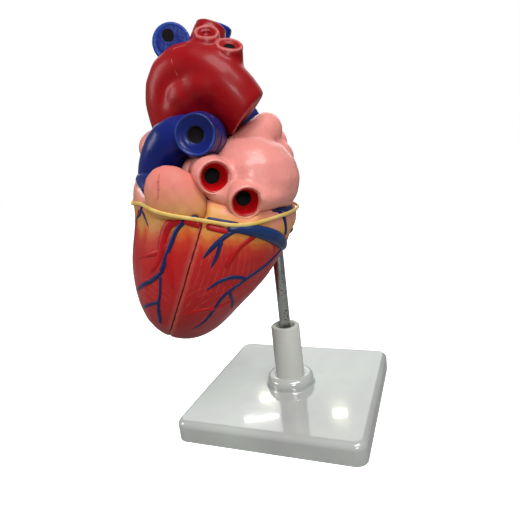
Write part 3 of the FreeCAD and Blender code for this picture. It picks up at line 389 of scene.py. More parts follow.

# %% [markdown]
# A paint is the same recipe each time: two tones in clouds, the lacquer's peel as a bump and a
# clear coat on top. Fat near the groove, rims of worn paint and of painted highlight, dark holes and
# thin strokes of painted highlight and painted shade are then painted over the tones, each at its own
# place, so the recipe takes lists of them.

# %% The recipe for a lacquered paint
def paint(name, colour, second, scale=45.0, share=0.5, gloss=0.2, bump=0.12, peel=420.0, waves=60.0,
          coat=0.3, coat_rough=0.1, shine=0.35, fat=0.0, rims=(), holes=(), strokes=()):
    """A lacquered paint. rims, of worn paint and of painted highlight round cut ends: centre, axis,
    radius, width, colour, strength. holes: centre, axis, radius. strokes, of painted highlight and
    painted shade: from, to, width, colour, strength."""
    material, tree, shader, place = new_material(name)
    tones = use_group(tree, clouds, place, Colour=(*colour, 1), Second=(*second, 1), Scale=scale, Share=share)
    skin = use_group(tree, lacquer, place, Peel=peel, Waves=waves, Gloss=gloss)
    result = tones.outputs[0]
    if fat:
        height = use_group(tree, groove, place, Ragged=FAT_RAGGED)
        near = put(tree, "ShaderNodeMapRange", From_Min=FAT_TOP, From_Max=FAT_FULL)
        tree.links.new(height.outputs[0], near.inputs["Value"])
        result = blend_colours(tree, calculate(tree, "MULTIPLY", near.outputs[0], fat), result, FAT_YELLOW)
    for centre, axis, radius, width, rim_colour, strength in rims:
        ring = ring_at(tree, place, centre, axis, radius, width)
        wear_or_highlight = calculate(tree, "MULTIPLY", ring.outputs["Rim"], strength)
        result = blend_colours(tree, wear_or_highlight, result, rim_colour)
    glossy = 1.0
    for centre, axis, radius in holes:
        ring = ring_at(tree, place, centre, axis, radius)
        result = blend_colours(tree, ring.outputs["Hole"], result, HOLE_BLACK)
        glossy = calculate(tree, "SUBTRACT", glossy, ring.outputs["Hole"], clamp=True)
    for start, end, width, line_colour, strength in strokes:
        line = use_group(tree, stroke_group, place, From=tuple(start), Run=tuple(end - start), Width=width)
        drawn = calculate(tree, "MULTIPLY", line.outputs[0], strength)
        result = blend_colours(tree, drawn, result, line_colour)
    tree.links.new(result, shader.inputs["Base Color"])
    tree.links.new(skin.outputs["Roughness"], shader.inputs["Roughness"])
    dented(tree, shader, skin.outputs["Height"], bump)
    shader.inputs["Specular IOR Level"].default_value = shine
    shader.inputs["Coat Weight"].default_value = coat
    if holes:
        tree.links.new(calculate(tree, "MULTIPLY", glossy, coat), shader.inputs["Coat Weight"])
        smooth = calculate(tree, "SUBTRACT", 1.0, skin.outputs["Roughness"])
        smooth = calculate(tree, "MULTIPLY", glossy, smooth)
        tree.links.new(calculate(tree, "SUBTRACT", 1.0, smooth), shader.inputs["Roughness"])
    shader.inputs["Coat Roughness"].default_value = coat_rough
    return material


def ring_at(tree, place, centre, axis, radius, width=0.001):
    """The ring group of worn paint and painted highlight, set round a vessel's end."""
    return use_group(tree, wear_and_highlight_ring, place, Centre=tuple(centre), Axis=tuple(axis.normalized()),
                     Radius=radius, Width=width)


HOLE_BLACK = (0.010, 0.008, 0.009)
FAT_YELLOW = (0.66, 0.33, 0.10)
FAT_TOP, FAT_FULL = 0.017, 0.002
FAT_RAGGED = 0.016
print("recipe: paint()")

# %% [markdown]
# ## Soft skins
# A moulding has no facets and no knife edges. The frame's solids are built from flat facets, so a
# copy of each is welded, remeshed into an even skin of small squares, and then smoothed by hand-like
# strokes, which also melt branches into their stem as a mould maker's fillets do. Smoothing shrinks
# a form a little, so a swell along the normals gives that back. Where two walls meet, the vertices
# near the true edges are held back by a vertex group, so that the seam keeps its line.

# %% Weld, remesh and smooth a copy
def as_object(name, mesh):
    """A new object in the scene for a mesh or a curve."""
    piece = bpy.data.objects.new(name, mesh)
    scene.collection.objects.link(piece)
    return piece


def applied(piece):
    """Replaces a piece's mesh by what its modifiers make of it."""
    bpy.context.view_layer.update()
    baked = bpy.data.meshes.new_from_object(piece.evaluated_get(bpy.context.evaluated_depsgraph_get()))
    piece.modifiers.clear()
    piece.data = baked
    return piece


def welded(node):
    """The frame's mesh of a node as a bmesh whose loose triangles are joined."""
    copy = bmesh.new()
    copy.from_mesh(nodes[node].data)
    bmesh.ops.remove_doubles(copy, verts=copy.verts, dist=WELD_REACH)
    return copy


def soft_skin(name, node, grain, strokes, swell=0.0, sharp=None, trims=(), fillings=()):
    """A smooth skin over a node's form. sharp: angle from which edges are held; trims: planes that
    cut the form short before it is smoothed; fillings: centre and half sizes of balls that fill a
    hollow between branches."""
    copy = welded(node)
    for middle, halves in fillings:
        ball = Matrix.Translation(spot(*middle)) @ Matrix.Rotation(HEART_TURN, 4, "Z")
        ball = ball @ Matrix.Diagonal((*halves, 1))
        bmesh.ops.create_icosphere(copy, subdivisions=4, radius=1.0, matrix=ball)
    for place, outward in trims:
        cut = bmesh.ops.bisect_plane(copy, geom=copy.verts[:] + copy.edges[:] + copy.faces[:], plane_co=place,
                                     plane_no=outward, clear_outer=True)["geom_cut"]
        bmesh.ops.edgeloop_fill(copy, edges=[e for e in cut if isinstance(e, bmesh.types.BMEdge)])
    mesh = bpy.data.meshes.new(name)
    copy.to_mesh(mesh)
    copy.free()
    piece = as_object(name, mesh)
    even = piece.modifiers.new("Even skin", "REMESH")
    even.mode, even.voxel_size, even.use_smooth_shade = "VOXEL", grain, True
    applied(piece)
    held = set()
    if sharp:
        skin = bmesh.new()
        skin.from_mesh(piece.data)
        held = {v.index for e in skin.edges if len(e.link_faces) == 2 and e.calc_face_angle(0.0) > sharp
                for v in e.verts}
        skin.free()
    group = piece.vertex_groups.new(name="strokes")
    group.add(list(range(len(piece.data.vertices))), 1.0, "REPLACE")
    group.add(list(held), EDGE_HOLD, "REPLACE")
    stroke = piece.modifiers.new("Strokes", "SMOOTH")
    stroke.factor, stroke.iterations, stroke.vertex_group = 0.5, strokes, "strokes"
    if swell:
        fuller = piece.modifiers.new("Fuller", "DISPLACE")
        fuller.strength, fuller.mid_level, fuller.vertex_group = swell, 0.0, "strokes"
    finish = piece.modifiers.new("Finish", "SMOOTH")
    finish.factor, finish.iterations = 0.5, 2
    applied(piece)
    piece.vertex_groups.clear()
    piece.data.shade_smooth()
    print(name, len(piece.data.polygons), "faces,", len(held), "held")
    return piece


def tree_of(piece):
    """A search tree over a piece's faces, for casting rays and finding the nearest place."""
    mesh = bmesh.new()
    mesh.from_mesh(piece.data)
    found = BVHTree.FromBMesh(mesh)
    mesh.free()
    return found


def dress(piece, material, body, *replaced):
    """Gives a finished piece its paint, its body and the node that it stands for."""
    piece.data.materials.clear()
    piece.data.materials.append(material)
    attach(piece, body)
    if replaced:
        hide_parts(*replaced)
    return piece


WELD_REACH = 0.00001
EDGE_HOLD = 0.10
print("soft_skin() and dress() are ready")

# %% [markdown]
# ## Cut ends
# Every cut vessel ends in a rounded lip round a shallow dish. That is a turned form, so its profile
# is drawn once, from its root inside the vessel over the lip and down into the dish, spun about the
# vessel's axis and joined to the skin.

# %% Turned forms
def turned_form(profile, centre, axis, steps=60):
    """A closed form spun from pairs of (radius, distance along the axis), in metres."""
    form = bmesh.new()
    corners = [form.verts.new((radius, 0, along)) for radius, along in profile]
    line = [form.edges.new(pair) for pair in zip(corners, corners[1:])]
    bmesh.ops.spin(form, geom=corners + line, cent=(0, 0, 0), axis=(0, 0, 1), angle=math.tau, steps=steps,
                   use_merge=True)
    bmesh.ops.remove_doubles(form, verts=form.verts, dist=0.000005)
    bmesh.ops.recalc_face_normals(form, faces=form.faces)
    bmesh.ops.transform(form, verts=form.verts, matrix=Matrix.Translation(centre)
                        @ Vector(axis).to_track_quat("Z", "Y").to_matrix().to_4x4())
    return form


def cut_end(radius, lip, dish, drop, hole=0.0, deep=0.0, sides=None):
    """The profile of a cut vessel: root, rounded lip, dish and, where it has one, the opening."""
    sides = sides or [(radius - 0.0014, -0.0075), (radius - 0.0004, -0.0050), (radius, -0.0030)]
    profile = [(0.0, sides[0][1] - 0.0002)] + sides
    for step in range(7):
        turn = math.radians(15 * step)
        profile.append((radius - lip + lip * math.cos(turn), lip * (math.sin(turn) - 1)))
    profile += [(dish + 0.0004, -0.0001), (dish, -0.0004), (dish - 0.0004, -0.6 * drop)]
    if hole:
        profile += [((dish + hole) / 2, -0.9 * drop), (hole + 0.0004, -drop), (hole, -drop - 0.0005),
                    (hole * 0.94, -deep), (0.0, -deep - 0.0002)]
    else:
        profile += [(dish * 0.5, -0.95 * drop), (0.0, -drop)]
    return profile


def joined(piece, forms):
    """Adds bmesh forms to a piece's mesh, with smooth shading."""
    whole = bmesh.new()
    whole.from_mesh(piece.data)
    for form in forms:
        part = bpy.data.meshes.new("part")
        form.to_mesh(part)
        form.free()
        whole.from_mesh(part)
        bpy.data.meshes.remove(part)
    whole.to_mesh(piece.data)
    whole.free()
    piece.data.shade_smooth()
    return piece


print("cut_end() gives", len(cut_end(0.01, 0.001, 0.008, 0.002)), "points")

# %% [markdown]
# ## The aorta
# The biggest moulding on top is one hollow piece: the arch, three short neck branches and a slanted
# cut end. It is crimson under thick lacquer, and the paint has rubbed off round the rims. A thin
# pale stroke of painted highlight follows the flash line where the two halves of the mould met.

# %% Aorta
CRIMSON = (0.36, 0.0025, 0.005)
DARK_CRIMSON = (0.22, 0.0015, 0.004)
WORN_PINK = (0.60, 0.17, 0.16)
neck_ends = [(spot(-24.9, 6.5, 139.6), way(11.6, 6.5, 27.6), 0.0093, 0.0058),
             (spot(-27.2, -8.4, 133.8), way(2.7, -16, 16.5), 0.0073, 0.0052),
             (spot(-15.1, -12.4, 125.2), way(4.8, -14, 18.0), 0.0079, 0.0058)]
arch_end = (spot(-9.8, -10.5, 86), way(0.74, -0.04, -0.67))
flash_line_highlight = [spot(-39.2, -14.0, 126.8), spot(-45.5, -10.0, 124.1), spot(-46.5, -12.0, 118.0),
              spot(-43.8, -12.0, 111.9)]
web_fillings = [((-40, -4, 100), (0.0165, 0.0165, 0.014)), ((-30, -8, 103), (0.018, 0.0165, 0.013))]
branch_fillings = [((-29, 4.5, 129), (0.0080, 0.0080, 0.012)), ((-32, 2.5, 120), (0.0085, 0.0085, 0.012))]
aorta = soft_skin("aorta_moulding", "aorta", 0.0009, 52, swell=0.0007,
                  fillings=web_fillings + branch_fillings)
aorta_skin = tree_of(aorta)
flash_line_highlight = [aorta_skin.find_nearest(place)[0] for place in flash_line_highlight]
# The pink rims are worn paint; the pale strokes along the flash line are a painted highlight.
aorta_paint = paint(
    "crimson_lacquer", CRIMSON, DARK_CRIMSON, scale=24, share=0.7, gloss=0.30, bump=0.10, coat=0.08,
    shine=0.18,
    rims=[(c, a, r - 0.0010, 0.0016, WORN_PINK, 0.8) for c, a, r, _ in neck_ends]
    + [(arch_end[0], arch_end[1], 0.0102, 0.0042, (0.40, 0.16, 0.10), 0.9),
       (arch_end[0], arch_end[1], 0.0142, 0.0012, WORN_PINK, 0.6)],
    holes=[(neck_ends[2][0], neck_ends[2][1], 0.0036)],
    strokes=[(a, b, 0.00045, (0.70, 0.20, 0.18), 0.55) for a, b in zip(flash_line_highlight, flash_line_highlight[1:])])
necks = [turned_form(cut_end(r, 0.0009, dish, 0.0013, 0.0030, 0.0024), c, a) for c, a, r, dish in neck_ends]
joined(aorta, necks + [turned_form(cut_end(0.0150, 0.0012, 0.0128, 0.0022, 0.0042, 0.0060), *arch_end)])
dress(aorta, aorta_paint, "heart", "aorta")

# %% [markdown]
# ## The blue vessels
# The trunk to the lungs and the two hollow veins carry used blood, so they are painted blue. Each
# cut end is a shallow dish with a black dot for the opening; a pale ring of painted highlight runs
# round the dish's rim. The trunk's big end tapers towards its lip, so its skin is cut short and the
# turned end takes over.

# %% Pulmonary trunk
BLUE = (0.005, 0.014, 0.17)
DEEP_BLUE = (0.004, 0.009, 0.075)
HIGHLIGHT_BLUE = (0.03, 0.09, 0.42)
lung_end = (spot(-38.4, -41, 77.2), way(-3.1, -27, 0.7))
lung_back = lung_end[0] - lung_end[1].normalized() * 0.0085
# The pale blue ring round the cut end is a painted highlight.
trunk_paint = paint("navy_lacquer", BLUE, DEEP_BLUE, scale=30, share=0.8, gloss=0.24, coat=0.10, shine=0.2,
                    rims=[(lung_end[0], lung_end[1], 0.0103, 0.0009, HIGHLIGHT_BLUE, 0.5)],
                    holes=[(lung_end[0] - lung_end[1].normalized() * 0.004, lung_end[1], 0.0049)])
trunk = soft_skin("pulmonary_trunk_moulding", "pulmonary_trunk", 0.0009, 30, swell=0.0004,
                  trims=[(lung_back, lung_end[1])], fillings=[((-66.7, -10, 57), (0.0122, 0.0122, 0.008))])
lung_sides = [(0.0116, -0.0118), (0.0122, -0.0098), (0.0123, -0.0078), (0.0121, -0.0055), (0.0117, -0.0034)]
joined(trunk, [turned_form(cut_end(0.0112, 0.0009, 0.0099, 0.0012, 0.0044, 0.0040, lung_sides), *lung_end)])
dress(trunk, trunk_paint, "heart", "pulmonary_trunk")

# %% Hollow veins
cava_ends = [(spot(-49.9, 7.6, 134.2), way(0.4, -9.6, 0.2)), (spot(-22.8, 29, 146), way(14.2, 0, 42))]
cava_dot = (spot(-51.4, 7.6, 138.4), cava_ends[0][1], 0.0040)
cava_back = cava_ends[0][0] - cava_ends[0][1].normalized() * 0.0055
# The pale blue rings round both cut ends are a painted highlight.
cava_paint = paint("navy_vein_lacquer", (0.006, 0.026, 0.24), (0.004, 0.016, 0.13), scale=34, share=0.6,
                   bump=0.30, peel=600, coat=0.06, shine=0.14,
                   rims=[(c, a, 0.0103, 0.0014, HIGHLIGHT_BLUE, 0.9) for c, a in cava_ends],
                   holes=[cava_dot])
cava = soft_skin("upper_hollow_vein_moulding", "superior_vena_cava", 0.0009, 22, swell=0.0003,
                 trims=[(cava_back, cava_ends[0][1])])
cava_sides = [(0.0096, -0.0105), (0.0105, -0.0085), (0.0112, -0.0060), (0.0116, -0.0035)]
joined(cava, [turned_form(cut_end(0.0117, 0.0013, 0.0096, 0.0006, sides=cava_sides), *cava_ends[0]),
              turned_form(cut_end(0.0105, 0.0012, 0.0084, 0.0020, 0.0040, 0.0060), *cava_ends[1])])
dress(cava, cava_paint, "heart", "superior_vena_cava")

lower_end = (spot(3, 26, 5), way(12, 2, -31))
# The pale blue ring round the cut end is a painted highlight.
lower_paint = paint("navy_lower_vein_lacquer", BLUE, DEEP_BLUE, scale=34, share=0.6, gloss=0.22, coat=0.12,
                    shine=0.25,
                    rims=[(lower_end[0], lower_end[1], 0.0105, 0.0012, HIGHLIGHT_BLUE, 0.6)],
                    holes=[(lower_end[0] - lower_end[1].normalized() * 0.004, lower_end[1], 0.0048)])
lower_cava = soft_skin("lower_hollow_vein_moulding", "inferior_vena_cava", 0.0009, 14, swell=0.0002)
joined(lower_cava, [turned_form(cut_end(0.0121, 0.0013, 0.0098, 0.0020, 0.0044, 0.0060), *lower_end)])
dress(lower_cava, lower_paint, "heart", "inferior_vena_cava")

# %% [markdown]
# ## The atria
# Both atria and their ear-shaped lobes are salmon pink. The paint is laid on thickly with a dabbing
# brush, which leaves a pebbled gloss, so their bump is stronger than the vessels'. Each lung vein
# opens in a soft rim of the left atrium.

# %% Atria and auricles
SALMON = (0.80, 0.30, 0.255)
ROSE = (0.68, 0.20, 0.18)
cups = {"upper_left_pulmonary_vein": ((-30.5, -45.2, 54.1), (0.30, -0.94, -0.12)),
        "lower_left_pulmonary_vein": ((-15.6, -45.6, 38.9), (0.22, -0.93, -0.28)),
        "upper_right_pulmonary_vein": ((6.0, 30.0, 69.0), (0.25, 0.97, 0.0)),
        "lower_right_pulmonary_vein": ((8.0, 31.0, 50.0), (0.30, 0.95, -0.05))}
atrium_paint = paint("salmon_lacquer", SALMON, ROSE, scale=20, share=0.5, gloss=0.30, bump=0.34, peel=520,
                     waves=170, coat=0.22, coat_rough=0.12, fat=0.45)
left_atrium = soft_skin("left_atrium_moulding", "left_atrium", 0.0010, 46, swell=0.0004)
rim_profile = [(0.0, -0.0142), (0.0118, -0.0140), (0.0110, -0.0064), (0.0103, -0.0036), (0.0099, -0.0018),
               (0.0096, -0.0008), (0.0092, -0.0002), (0.0088, 0.0), (0.0085, -0.0002), (0.0082, -0.0008),
               (0.0081, -0.0020), (0.0080, -0.0132), (0.0, -0.0134)]
joined(left_atrium, [turned_form(rim_profile, spot(*end), way(*outward)) for end, outward in cups.values()])
dress(left_atrium, atrium_paint, "heart", "left_atrium")
right_atrium = soft_skin("right_atrium_moulding", "right_atrium", 0.0011, 40, swell=0.0003)
dress(right_atrium, atrium_paint, "heart", "right_atrium")
right_auricle = soft_skin("right_auricle_moulding", "right_auricle", 0.0010, 30, swell=0.0004)
dress(right_auricle, atrium_paint, "heart", "right_auricle")

# %% Left auricle
left_auricle = soft_skin("left_auricle_moulding", "left_auricle", 0.0007, 20, swell=0.0006)
lobe_skin = tree_of(left_auricle)
# The dark stroke down the lobe's crease is painted shade.
crease_shade = [lobe_skin.find_nearest(spot(*place))[0] for place in
          ((-59.6, -47, 59.5), (-60.4, -49, 55.5), (-60.8, -50, 51.5), (-61.6, -50, 47.0))]
lobe_paint = paint("salmon_lobe_lacquer", (0.70, 0.21, 0.165), (0.60, 0.155, 0.12), scale=30, share=0.6,
                   gloss=0.48, bump=0.16, peel=430, waves=120, coat=0.0, shine=0.25, fat=0.95,
                   strokes=[(a, b, 0.0010, (0.36, 0.07, 0.055), 0.6) for a, b in zip(crease_shade, crease_shade[1:])])
dress(left_auricle, lobe_paint, "front", "left_auricle")

# %% [markdown]
# ## The two walls
# The ventricles are muscle red at the tip and fade through orange to the ochre of fat just under
# the groove, airbrushed while wet. The fade is measured as the height under the groove's plane,
# and a stretched noise breaks it into streaks. Where the walls meet, the paint is thin and pinkish,
# with a thin dark line of painted shade along the gap between them.

# %% Skins of the walls
wall_edge = math.radians(27)
rear_wall = soft_skin("rear_wall_moulding", "rear_heart_wall", 0.0010, 34, swell=0.0004, sharp=wall_edge)
front_wall = soft_skin("front_wall_moulding", "front_heart_wall", 0.0010, 34, swell=0.0004, sharp=wall_edge)
rear_tree, front_tree = tree_of(rear_wall), tree_of(front_wall)
print("walls:", len(rear_wall.data.polygons) + len(front_wall.data.polygons), "faces")

# %% Paint of the walls
def muscle_paint(name):
    """Muscle red that fades to the fat's yellow, with the pinkish seam and its dark line of painted shade,
    the trunk's edge and the fibres.
    """
    material, tree, shader, place = new_material(name)
    height = use_group(tree, groove, place, Ragged=0.020)
    spread = put(tree, "ShaderNodeMapRange", From_Min=-0.090, From_Max=0.015)
    tree.links.new(height.outputs[0], spread.inputs["Value"])
    fade = tree.nodes.new("ShaderNodeValToRGB")
    tree.links.new(spread.outputs[0], fade.inputs["Fac"])
    stops = [(0.0, (0.20, 0.012, 0.020)), (0.19, (0.32, 0.012, 0.016)), (0.43, (0.43, 0.010, 0.012)),
             (0.66, (0.46, 0.013, 0.012)), (0.72, (0.51, 0.032, 0.014)), (0.765, (0.58, 0.10, 0.022)),
             (0.80, (0.64, 0.22, 0.042)), (0.84, (0.66, 0.30, 0.06)), (0.876, (0.66, 0.30, 0.07)),
             (0.924, (0.74, 0.28, 0.18)), (0.950, (0.78, 0.30, 0.24))]
    ramp = fade.color_ramp
    ramp.interpolation = "EASE"
    while len(ramp.elements) < len(stops):
        ramp.elements.new(0.5)
    for element, (position, colour) in zip(ramp.elements, stops):
        element.position, element.color = position, (*colour, 1)
    seam = tree.nodes.new("ShaderNodeAttribute")
    seam.attribute_name = "seam_nearness"
    seam_share = calculate(tree, "MULTIPLY", seam.outputs["Fac"], 0.55, clamp=True)
    result = blend_colours(tree, seam_share, fade.outputs["Color"], (0.66, 0.17, 0.12))
    # A thin dark line of painted shade along the seam's gap.
    seam_shade_share = put(tree, "ShaderNodeMapRange", From_Min=0.76, From_Max=0.88)
    tree.links.new(seam.outputs["Fac"], seam_shade_share.inputs["Value"])
    result = blend_colours(tree, seam_shade_share.outputs[0], result, (0.14, 0.010, 0.012))
    result = trunk_shoulder(tree, place, result)
    result, fibres = striated(tree, place, result)
    tree.links.new(result, shader.inputs["Base Color"])
    skin = use_group(tree, lacquer, place, Peel=480.0, Waves=80.0, Gloss=0.30)
    tree.links.new(skin.outputs["Roughness"], shader.inputs["Roughness"])
    relief = calculate(tree, "ADD", skin.outputs["Height"], calculate(tree, "MULTIPLY", fibres, 0.9))
    dented(tree, shader, relief, 0.16)
    shader.inputs["Specular IOR Level"].default_value = 0.25
    shader.inputs["Coat Weight"].default_value = 0.08
    shader.inputs["Coat Roughness"].default_value = 0.12
    return material


def trunk_shoulder(tree, place, under):
    """The trunk's blue runs onto the top of the walls and ends there in a pale, rubbed edge."""
    level = use_group(tree, groove, place, Ragged=0.003)
    above = put(tree, "ShaderNodeMapRange", From_Min=0.0090, From_Max=0.0100)
    tree.links.new(level.outputs[0], above.inputs["Value"])
    off_edge = steer(tree, "SUBTRACT", place, tuple(spot(-73.9, -30.6, 51.0)))
    over_edge = tuple(way(1.26, 0, 1).normalized())
    slant = steer(tree, "DOT_PRODUCT", off_edge.outputs[0], over_edge).outputs["Value"]
    rubbed, blue = (0.80, 0.55, 0.52), (0.005, 0.016, 0.12)
    for low, high, colour in ((-0.0022, -0.0012, rubbed), (-0.0002, 0.0002, blue)):
        share = put(tree, "ShaderNodeMapRange", From_Min=low, From_Max=high)
        tree.links.new(slant, share.inputs["Value"])
        share = calculate(tree, "MULTIPLY", share.outputs[0], above.outputs[0])
        under = blend_colours(tree, share, under, colour)
    return under


def striated(tree, place, under):
    """Fine pale strokes of muscle fibre, in three fields on the walls; gives colour and height."""
    total = None
    for centre, middle, reach in FIBRE_FIELDS:
        away = steer(tree, "SUBTRACT", place, tuple(centre))
        arcs = steer(tree, "LENGTH", away.outputs[0]).outputs["Value"]
        wobble = put(tree, "ShaderNodeTexNoise", Scale=60.0, Detail=1.0)
        tree.links.new(place, wobble.inputs["Vector"])
        arcs = calculate(tree, "ADD", arcs, calculate(tree, "MULTIPLY", wobble.outputs[0], 0.004))
        saw = calculate(tree, "FRACT", calculate(tree, "DIVIDE", arcs, FIBRE_PITCH))
        off_line = calculate(tree, "ABSOLUTE", calculate(tree, "SUBTRACT", saw, 0.5))
        line = calculate(tree, "LESS_THAN", off_line, FIBRE_SHARE / 2)
        near = steer(tree, "DISTANCE", place, tuple(middle)).outputs["Value"]
        field = calculate(tree, "SUBTRACT", 1.0, calculate(tree, "DIVIDE", near, reach), clamp=True)
        field = calculate(tree, "MINIMUM", calculate(tree, "MULTIPLY", field, 3.0), 1.0)
        line = calculate(tree, "MULTIPLY", line, field)
        total = line if total is None else calculate(tree, "MAXIMUM", total, line)
    breaks = put(tree, "ShaderNodeTexNoise", Scale=190.0, Detail=1.0)
    tree.links.new(place, breaks.inputs["Vector"])
    present = calculate(tree, "GREATER_THAN", breaks.outputs[0], 0.44)
    strokes = calculate(tree, "MULTIPLY", total, present)
    pale = blend_colours(tree, calculate(tree, "MULTIPLY", strokes, 0.13), under, (0.70, 0.22, 0.18))
    return pale, strokes


FIBRE_PITCH = 0.0034
FIBRE_SHARE = 0.17
# Each field: the centre of its arcs, its own middle and its reach.
FIBRE_FIELDS = [(spot(-95, -60, 25), spot(-33, -46, 2), 0.022),
                (spot(-20, -70, -75), spot(-48, -44, -14), 0.016),
                (spot(-120, -60, -60), spot(-74, -40, -6), 0.014)]
wall_paint = muscle_paint("muscle_lacquer")
print("paint:", wall_paint.name)

# %% [markdown]
# A wall has three kinds of surface: the painted outside, the flat faces of the seam, and the lining
# of the two chambers. A ray from each face tells them apart: outside it meets nothing, in the seam
# it meets the other wall at once, and in a chamber it meets the far side.

# %% Sort the walls' faces
cut_paint = paint("seam_face_paint", (0.66, 0.22, 0.15), (0.58, 0.14, 0.10), scale=60, share=0.6, gloss=0.4,
                  bump=0.1, coat=0.1)
lining_paint = paint("chamber_lining_paint", (0.72, 0.24, 0.17), (0.55, 0.10, 0.08), scale=50, share=0.7,
                     gloss=0.3, bump=0.35, waves=160, coat=0.3)
OUTSIDE, SEAM, LINING = 0, 1, 2
SEAM_WIDTH, EDGE_REACH = 0.0011, 0.006
SEAM_FADE = 0.0034
RAY_START, RAY_REACH = 0.00015, 0.09
RIM_ROWS = 2


def sort_faces(piece, other):
    """Marks each face as outside, seam or lining, and each vertex by how near the seam it lies."""
    mesh = piece.data
    own = tree_of(piece)
    for face in mesh.polygons:
        start = face.center + face.normal * RAY_START
        own_hit = own.ray_cast(start, face.normal, RAY_REACH)[3]
        other_hit = other.ray_cast(start, face.normal, RAY_REACH)[3]
        if other_hit is not None and other_hit < SEAM_WIDTH and (own_hit is None or own_hit > other_hit):
            face.material_index = SEAM
        elif own_hit is not None or (other_hit is not None and other_hit > EDGE_REACH):
            face.material_index = LINING
    skin = bmesh.new()
    skin.from_mesh(mesh)
    for _ in range(RIM_ROWS):
        rim = [face for face in skin.faces if face.material_index == SEAM
               and any(near.material_index == OUTSIDE for edge in face.edges for near in edge.link_faces)]
        for face in rim:
            face.material_index = OUTSIDE
    kinds = [face.material_index for face in skin.faces]
    skin.to_mesh(mesh)
    skin.free()
    nearness = mesh.attributes.new("seam_nearness", "FLOAT", "POINT")
    for vertex in mesh.vertices:
        gap = other.find_nearest(vertex.co, SEAM_FADE)[3]
        nearness.data[vertex.index].value = 0.0 if gap is None else max(0.0, 1.0 - gap / SEAM_FADE)
    print(piece.name, "outside, seam, lining:", [kinds.count(kind) for kind in (OUTSIDE, SEAM, LINING)])


for wall, other, body, node in ((rear_wall, front_tree, "heart", "rear_heart_wall"),
                                (front_wall, rear_tree, "front", "front_heart_wall")):
    wall.data.materials.clear()
    for finish in (wall_paint, cut_paint, lining_paint):
        wall.data.materials.append(finish)
    sort_faces(wall, other)
    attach(wall, body)
    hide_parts(node)

# %% [markdown]
# ## Vessels of the heart wall
# The coronary vessels are moulded as low ridges and painted by hand, blue for the veins and red for
# the arteries. Each is laid as a smooth curve of a few places with a girth, pressed onto the skin,
# and given a flat round section that sinks at both ends.

# %% Lay a vessel on the skin
def smooth_line(places):
    """Points of a smooth curve through the neighbourhood of the given places."""
    data = bpy.data.curves.new("line", "CURVE")
    data.dimensions = "3D"
    spline = data.splines.new("NURBS")
    spline.points.add(len(places) - 1)
    for point, place in zip(spline.points, places):
        point.co = (*place, 1)
    spline.order_u, spline.use_endpoint_u, spline.resolution_u = 3, True, 6
    holder = as_object("line", data)
    mesh = bpy.data.meshes.new_from_object(holder)
    line = [v.co.copy() for v in mesh.vertices]
    bpy.data.objects.remove(holder)
    return line


def lay_vessel(bm, route, skin, flat=0.5, fuller=1.0):
    """Adds one vessel to a bmesh: route is places with a girth in millimetres, skin a search tree."""
    line = smooth_line([place for place, _ in route])
    lengths = [0.0]
    for a, b in zip(line, line[1:]):
        lengths.append(lengths[-1] + (b - a).length)
    marks = [0.0]
    for (a, _), (b, _) in zip(route, route[1:]):
        marks.append(marks[-1] + (b - a).length)
    last = None
    seats = [skin.find_nearest(place) for place in line]
    for index, (place, normal, _, _) in enumerate(seats):
        before = seats[max(index - 1, 0)][0]
        after = seats[min(index + 1, len(seats) - 1)][0]
        forth = (after - before).normalized()
        side = normal.cross(forth).normalized()
        up = forth.cross(side)
        share = lengths[index] / lengths[-1] * marks[-1]
        run = next((i for i in range(len(marks) - 1) if share <= marks[i + 1]), len(marks) - 2)
        t = (share - marks[run]) / max(marks[run + 1] - marks[run], 1e-9)
        girth = (route[run][1] * (1 - t) + route[run + 1][1] * t) / 1000 * fuller
        end = min(lengths[index], lengths[-1] - lengths[index]) / END_TAPER
        girth *= min(1.0, 0.4 + 0.6 * end)
        frame_of = Matrix((side, up, forth)).transposed().to_4x4()
        frame_of.translation = place
        shape = frame_of @ Matrix.Diagonal((girth, girth * flat, 1, 1))
        ring = bmesh.ops.create_circle(bm, cap_ends=index in (0, len(seats) - 1), segments=10, radius=1.0,
                                       matrix=shape)["verts"]
        edges = list({e for v in ring for e in v.link_edges})
        if last:
            bmesh.ops.bridge_loops(bm, edges=last + edges)
        last = edges


def vessels(name, routes, skin, material, body, **form):
    """One piece from several routes that share a paint and a body."""
    bm = bmesh.new()
    for route in routes:
        lay_vessel(bm, route, skin, **form)
    bmesh.ops.recalc_face_normals(bm, faces=bm.faces)
    mesh = bpy.data.meshes.new(name)
    bm.to_mesh(mesh)
    bm.free()
    mesh.shade_smooth()
    piece = as_object(name, mesh)
    dress(piece, material, body)
    print(name, len(routes), "vessels,", len(mesh.polygons), "faces")
    return piece


END_TAPER = 0.0008
print("lay_vessel() is ready")

# %% [markdown]
# On the side that the camera sees, a route is a few points of the camera's square picture, counted
# in pixels from its top left corner, each with the vessel's girth in millimetres. The points were
# picked. A ray from the camera through each point finds the place on the heart. A point that
# just misses the outline moves inward, a hundredth of the way at a time, until its ray meets it.

# %% Veins and arteries of the left side
PICTURE = 520
FOCAL = LENS / SENSOR * PICTURE
MIDDLE_ACROSS = 210
INWARD_STEPS = 12
seen_forms = [tree_of(nodes[name]) for name in ("rear_heart_wall", "front_heart_wall", "left_auricle",
                                                "left_atrium", "right_atrium")]


def seen(across, down):
    """The place on the heart that the camera sees at a point of its picture, or the nearest to it."""
    eye, turned = CAMERA_POSE.translation, CAMERA_POSE.to_3x3()
    for step in range(INWARD_STEPS):
        inward = across + (MIDDLE_ACROSS - across) * step / 100
        sight = (turned @ Vector((inward - PICTURE / 2, PICTURE / 2 - down, -FOCAL))).normalized()
        hits = [form.ray_cast(eye, sight) for form in seen_forms]
        hits = [hit for hit in hits if hit[0] is not None]
        if hits:
            return min(hits, key=lambda hit: hit[3])[0]
    return seen_forms[0].find_nearest(eye + sight * (heart_middle - eye).length)[0]


def picked(routes):
    """Routes over the heart from named lists of (across, down, girth)."""
    return [[(seen(across, down), girth) for across, down, girth in route] for route in routes.values()]


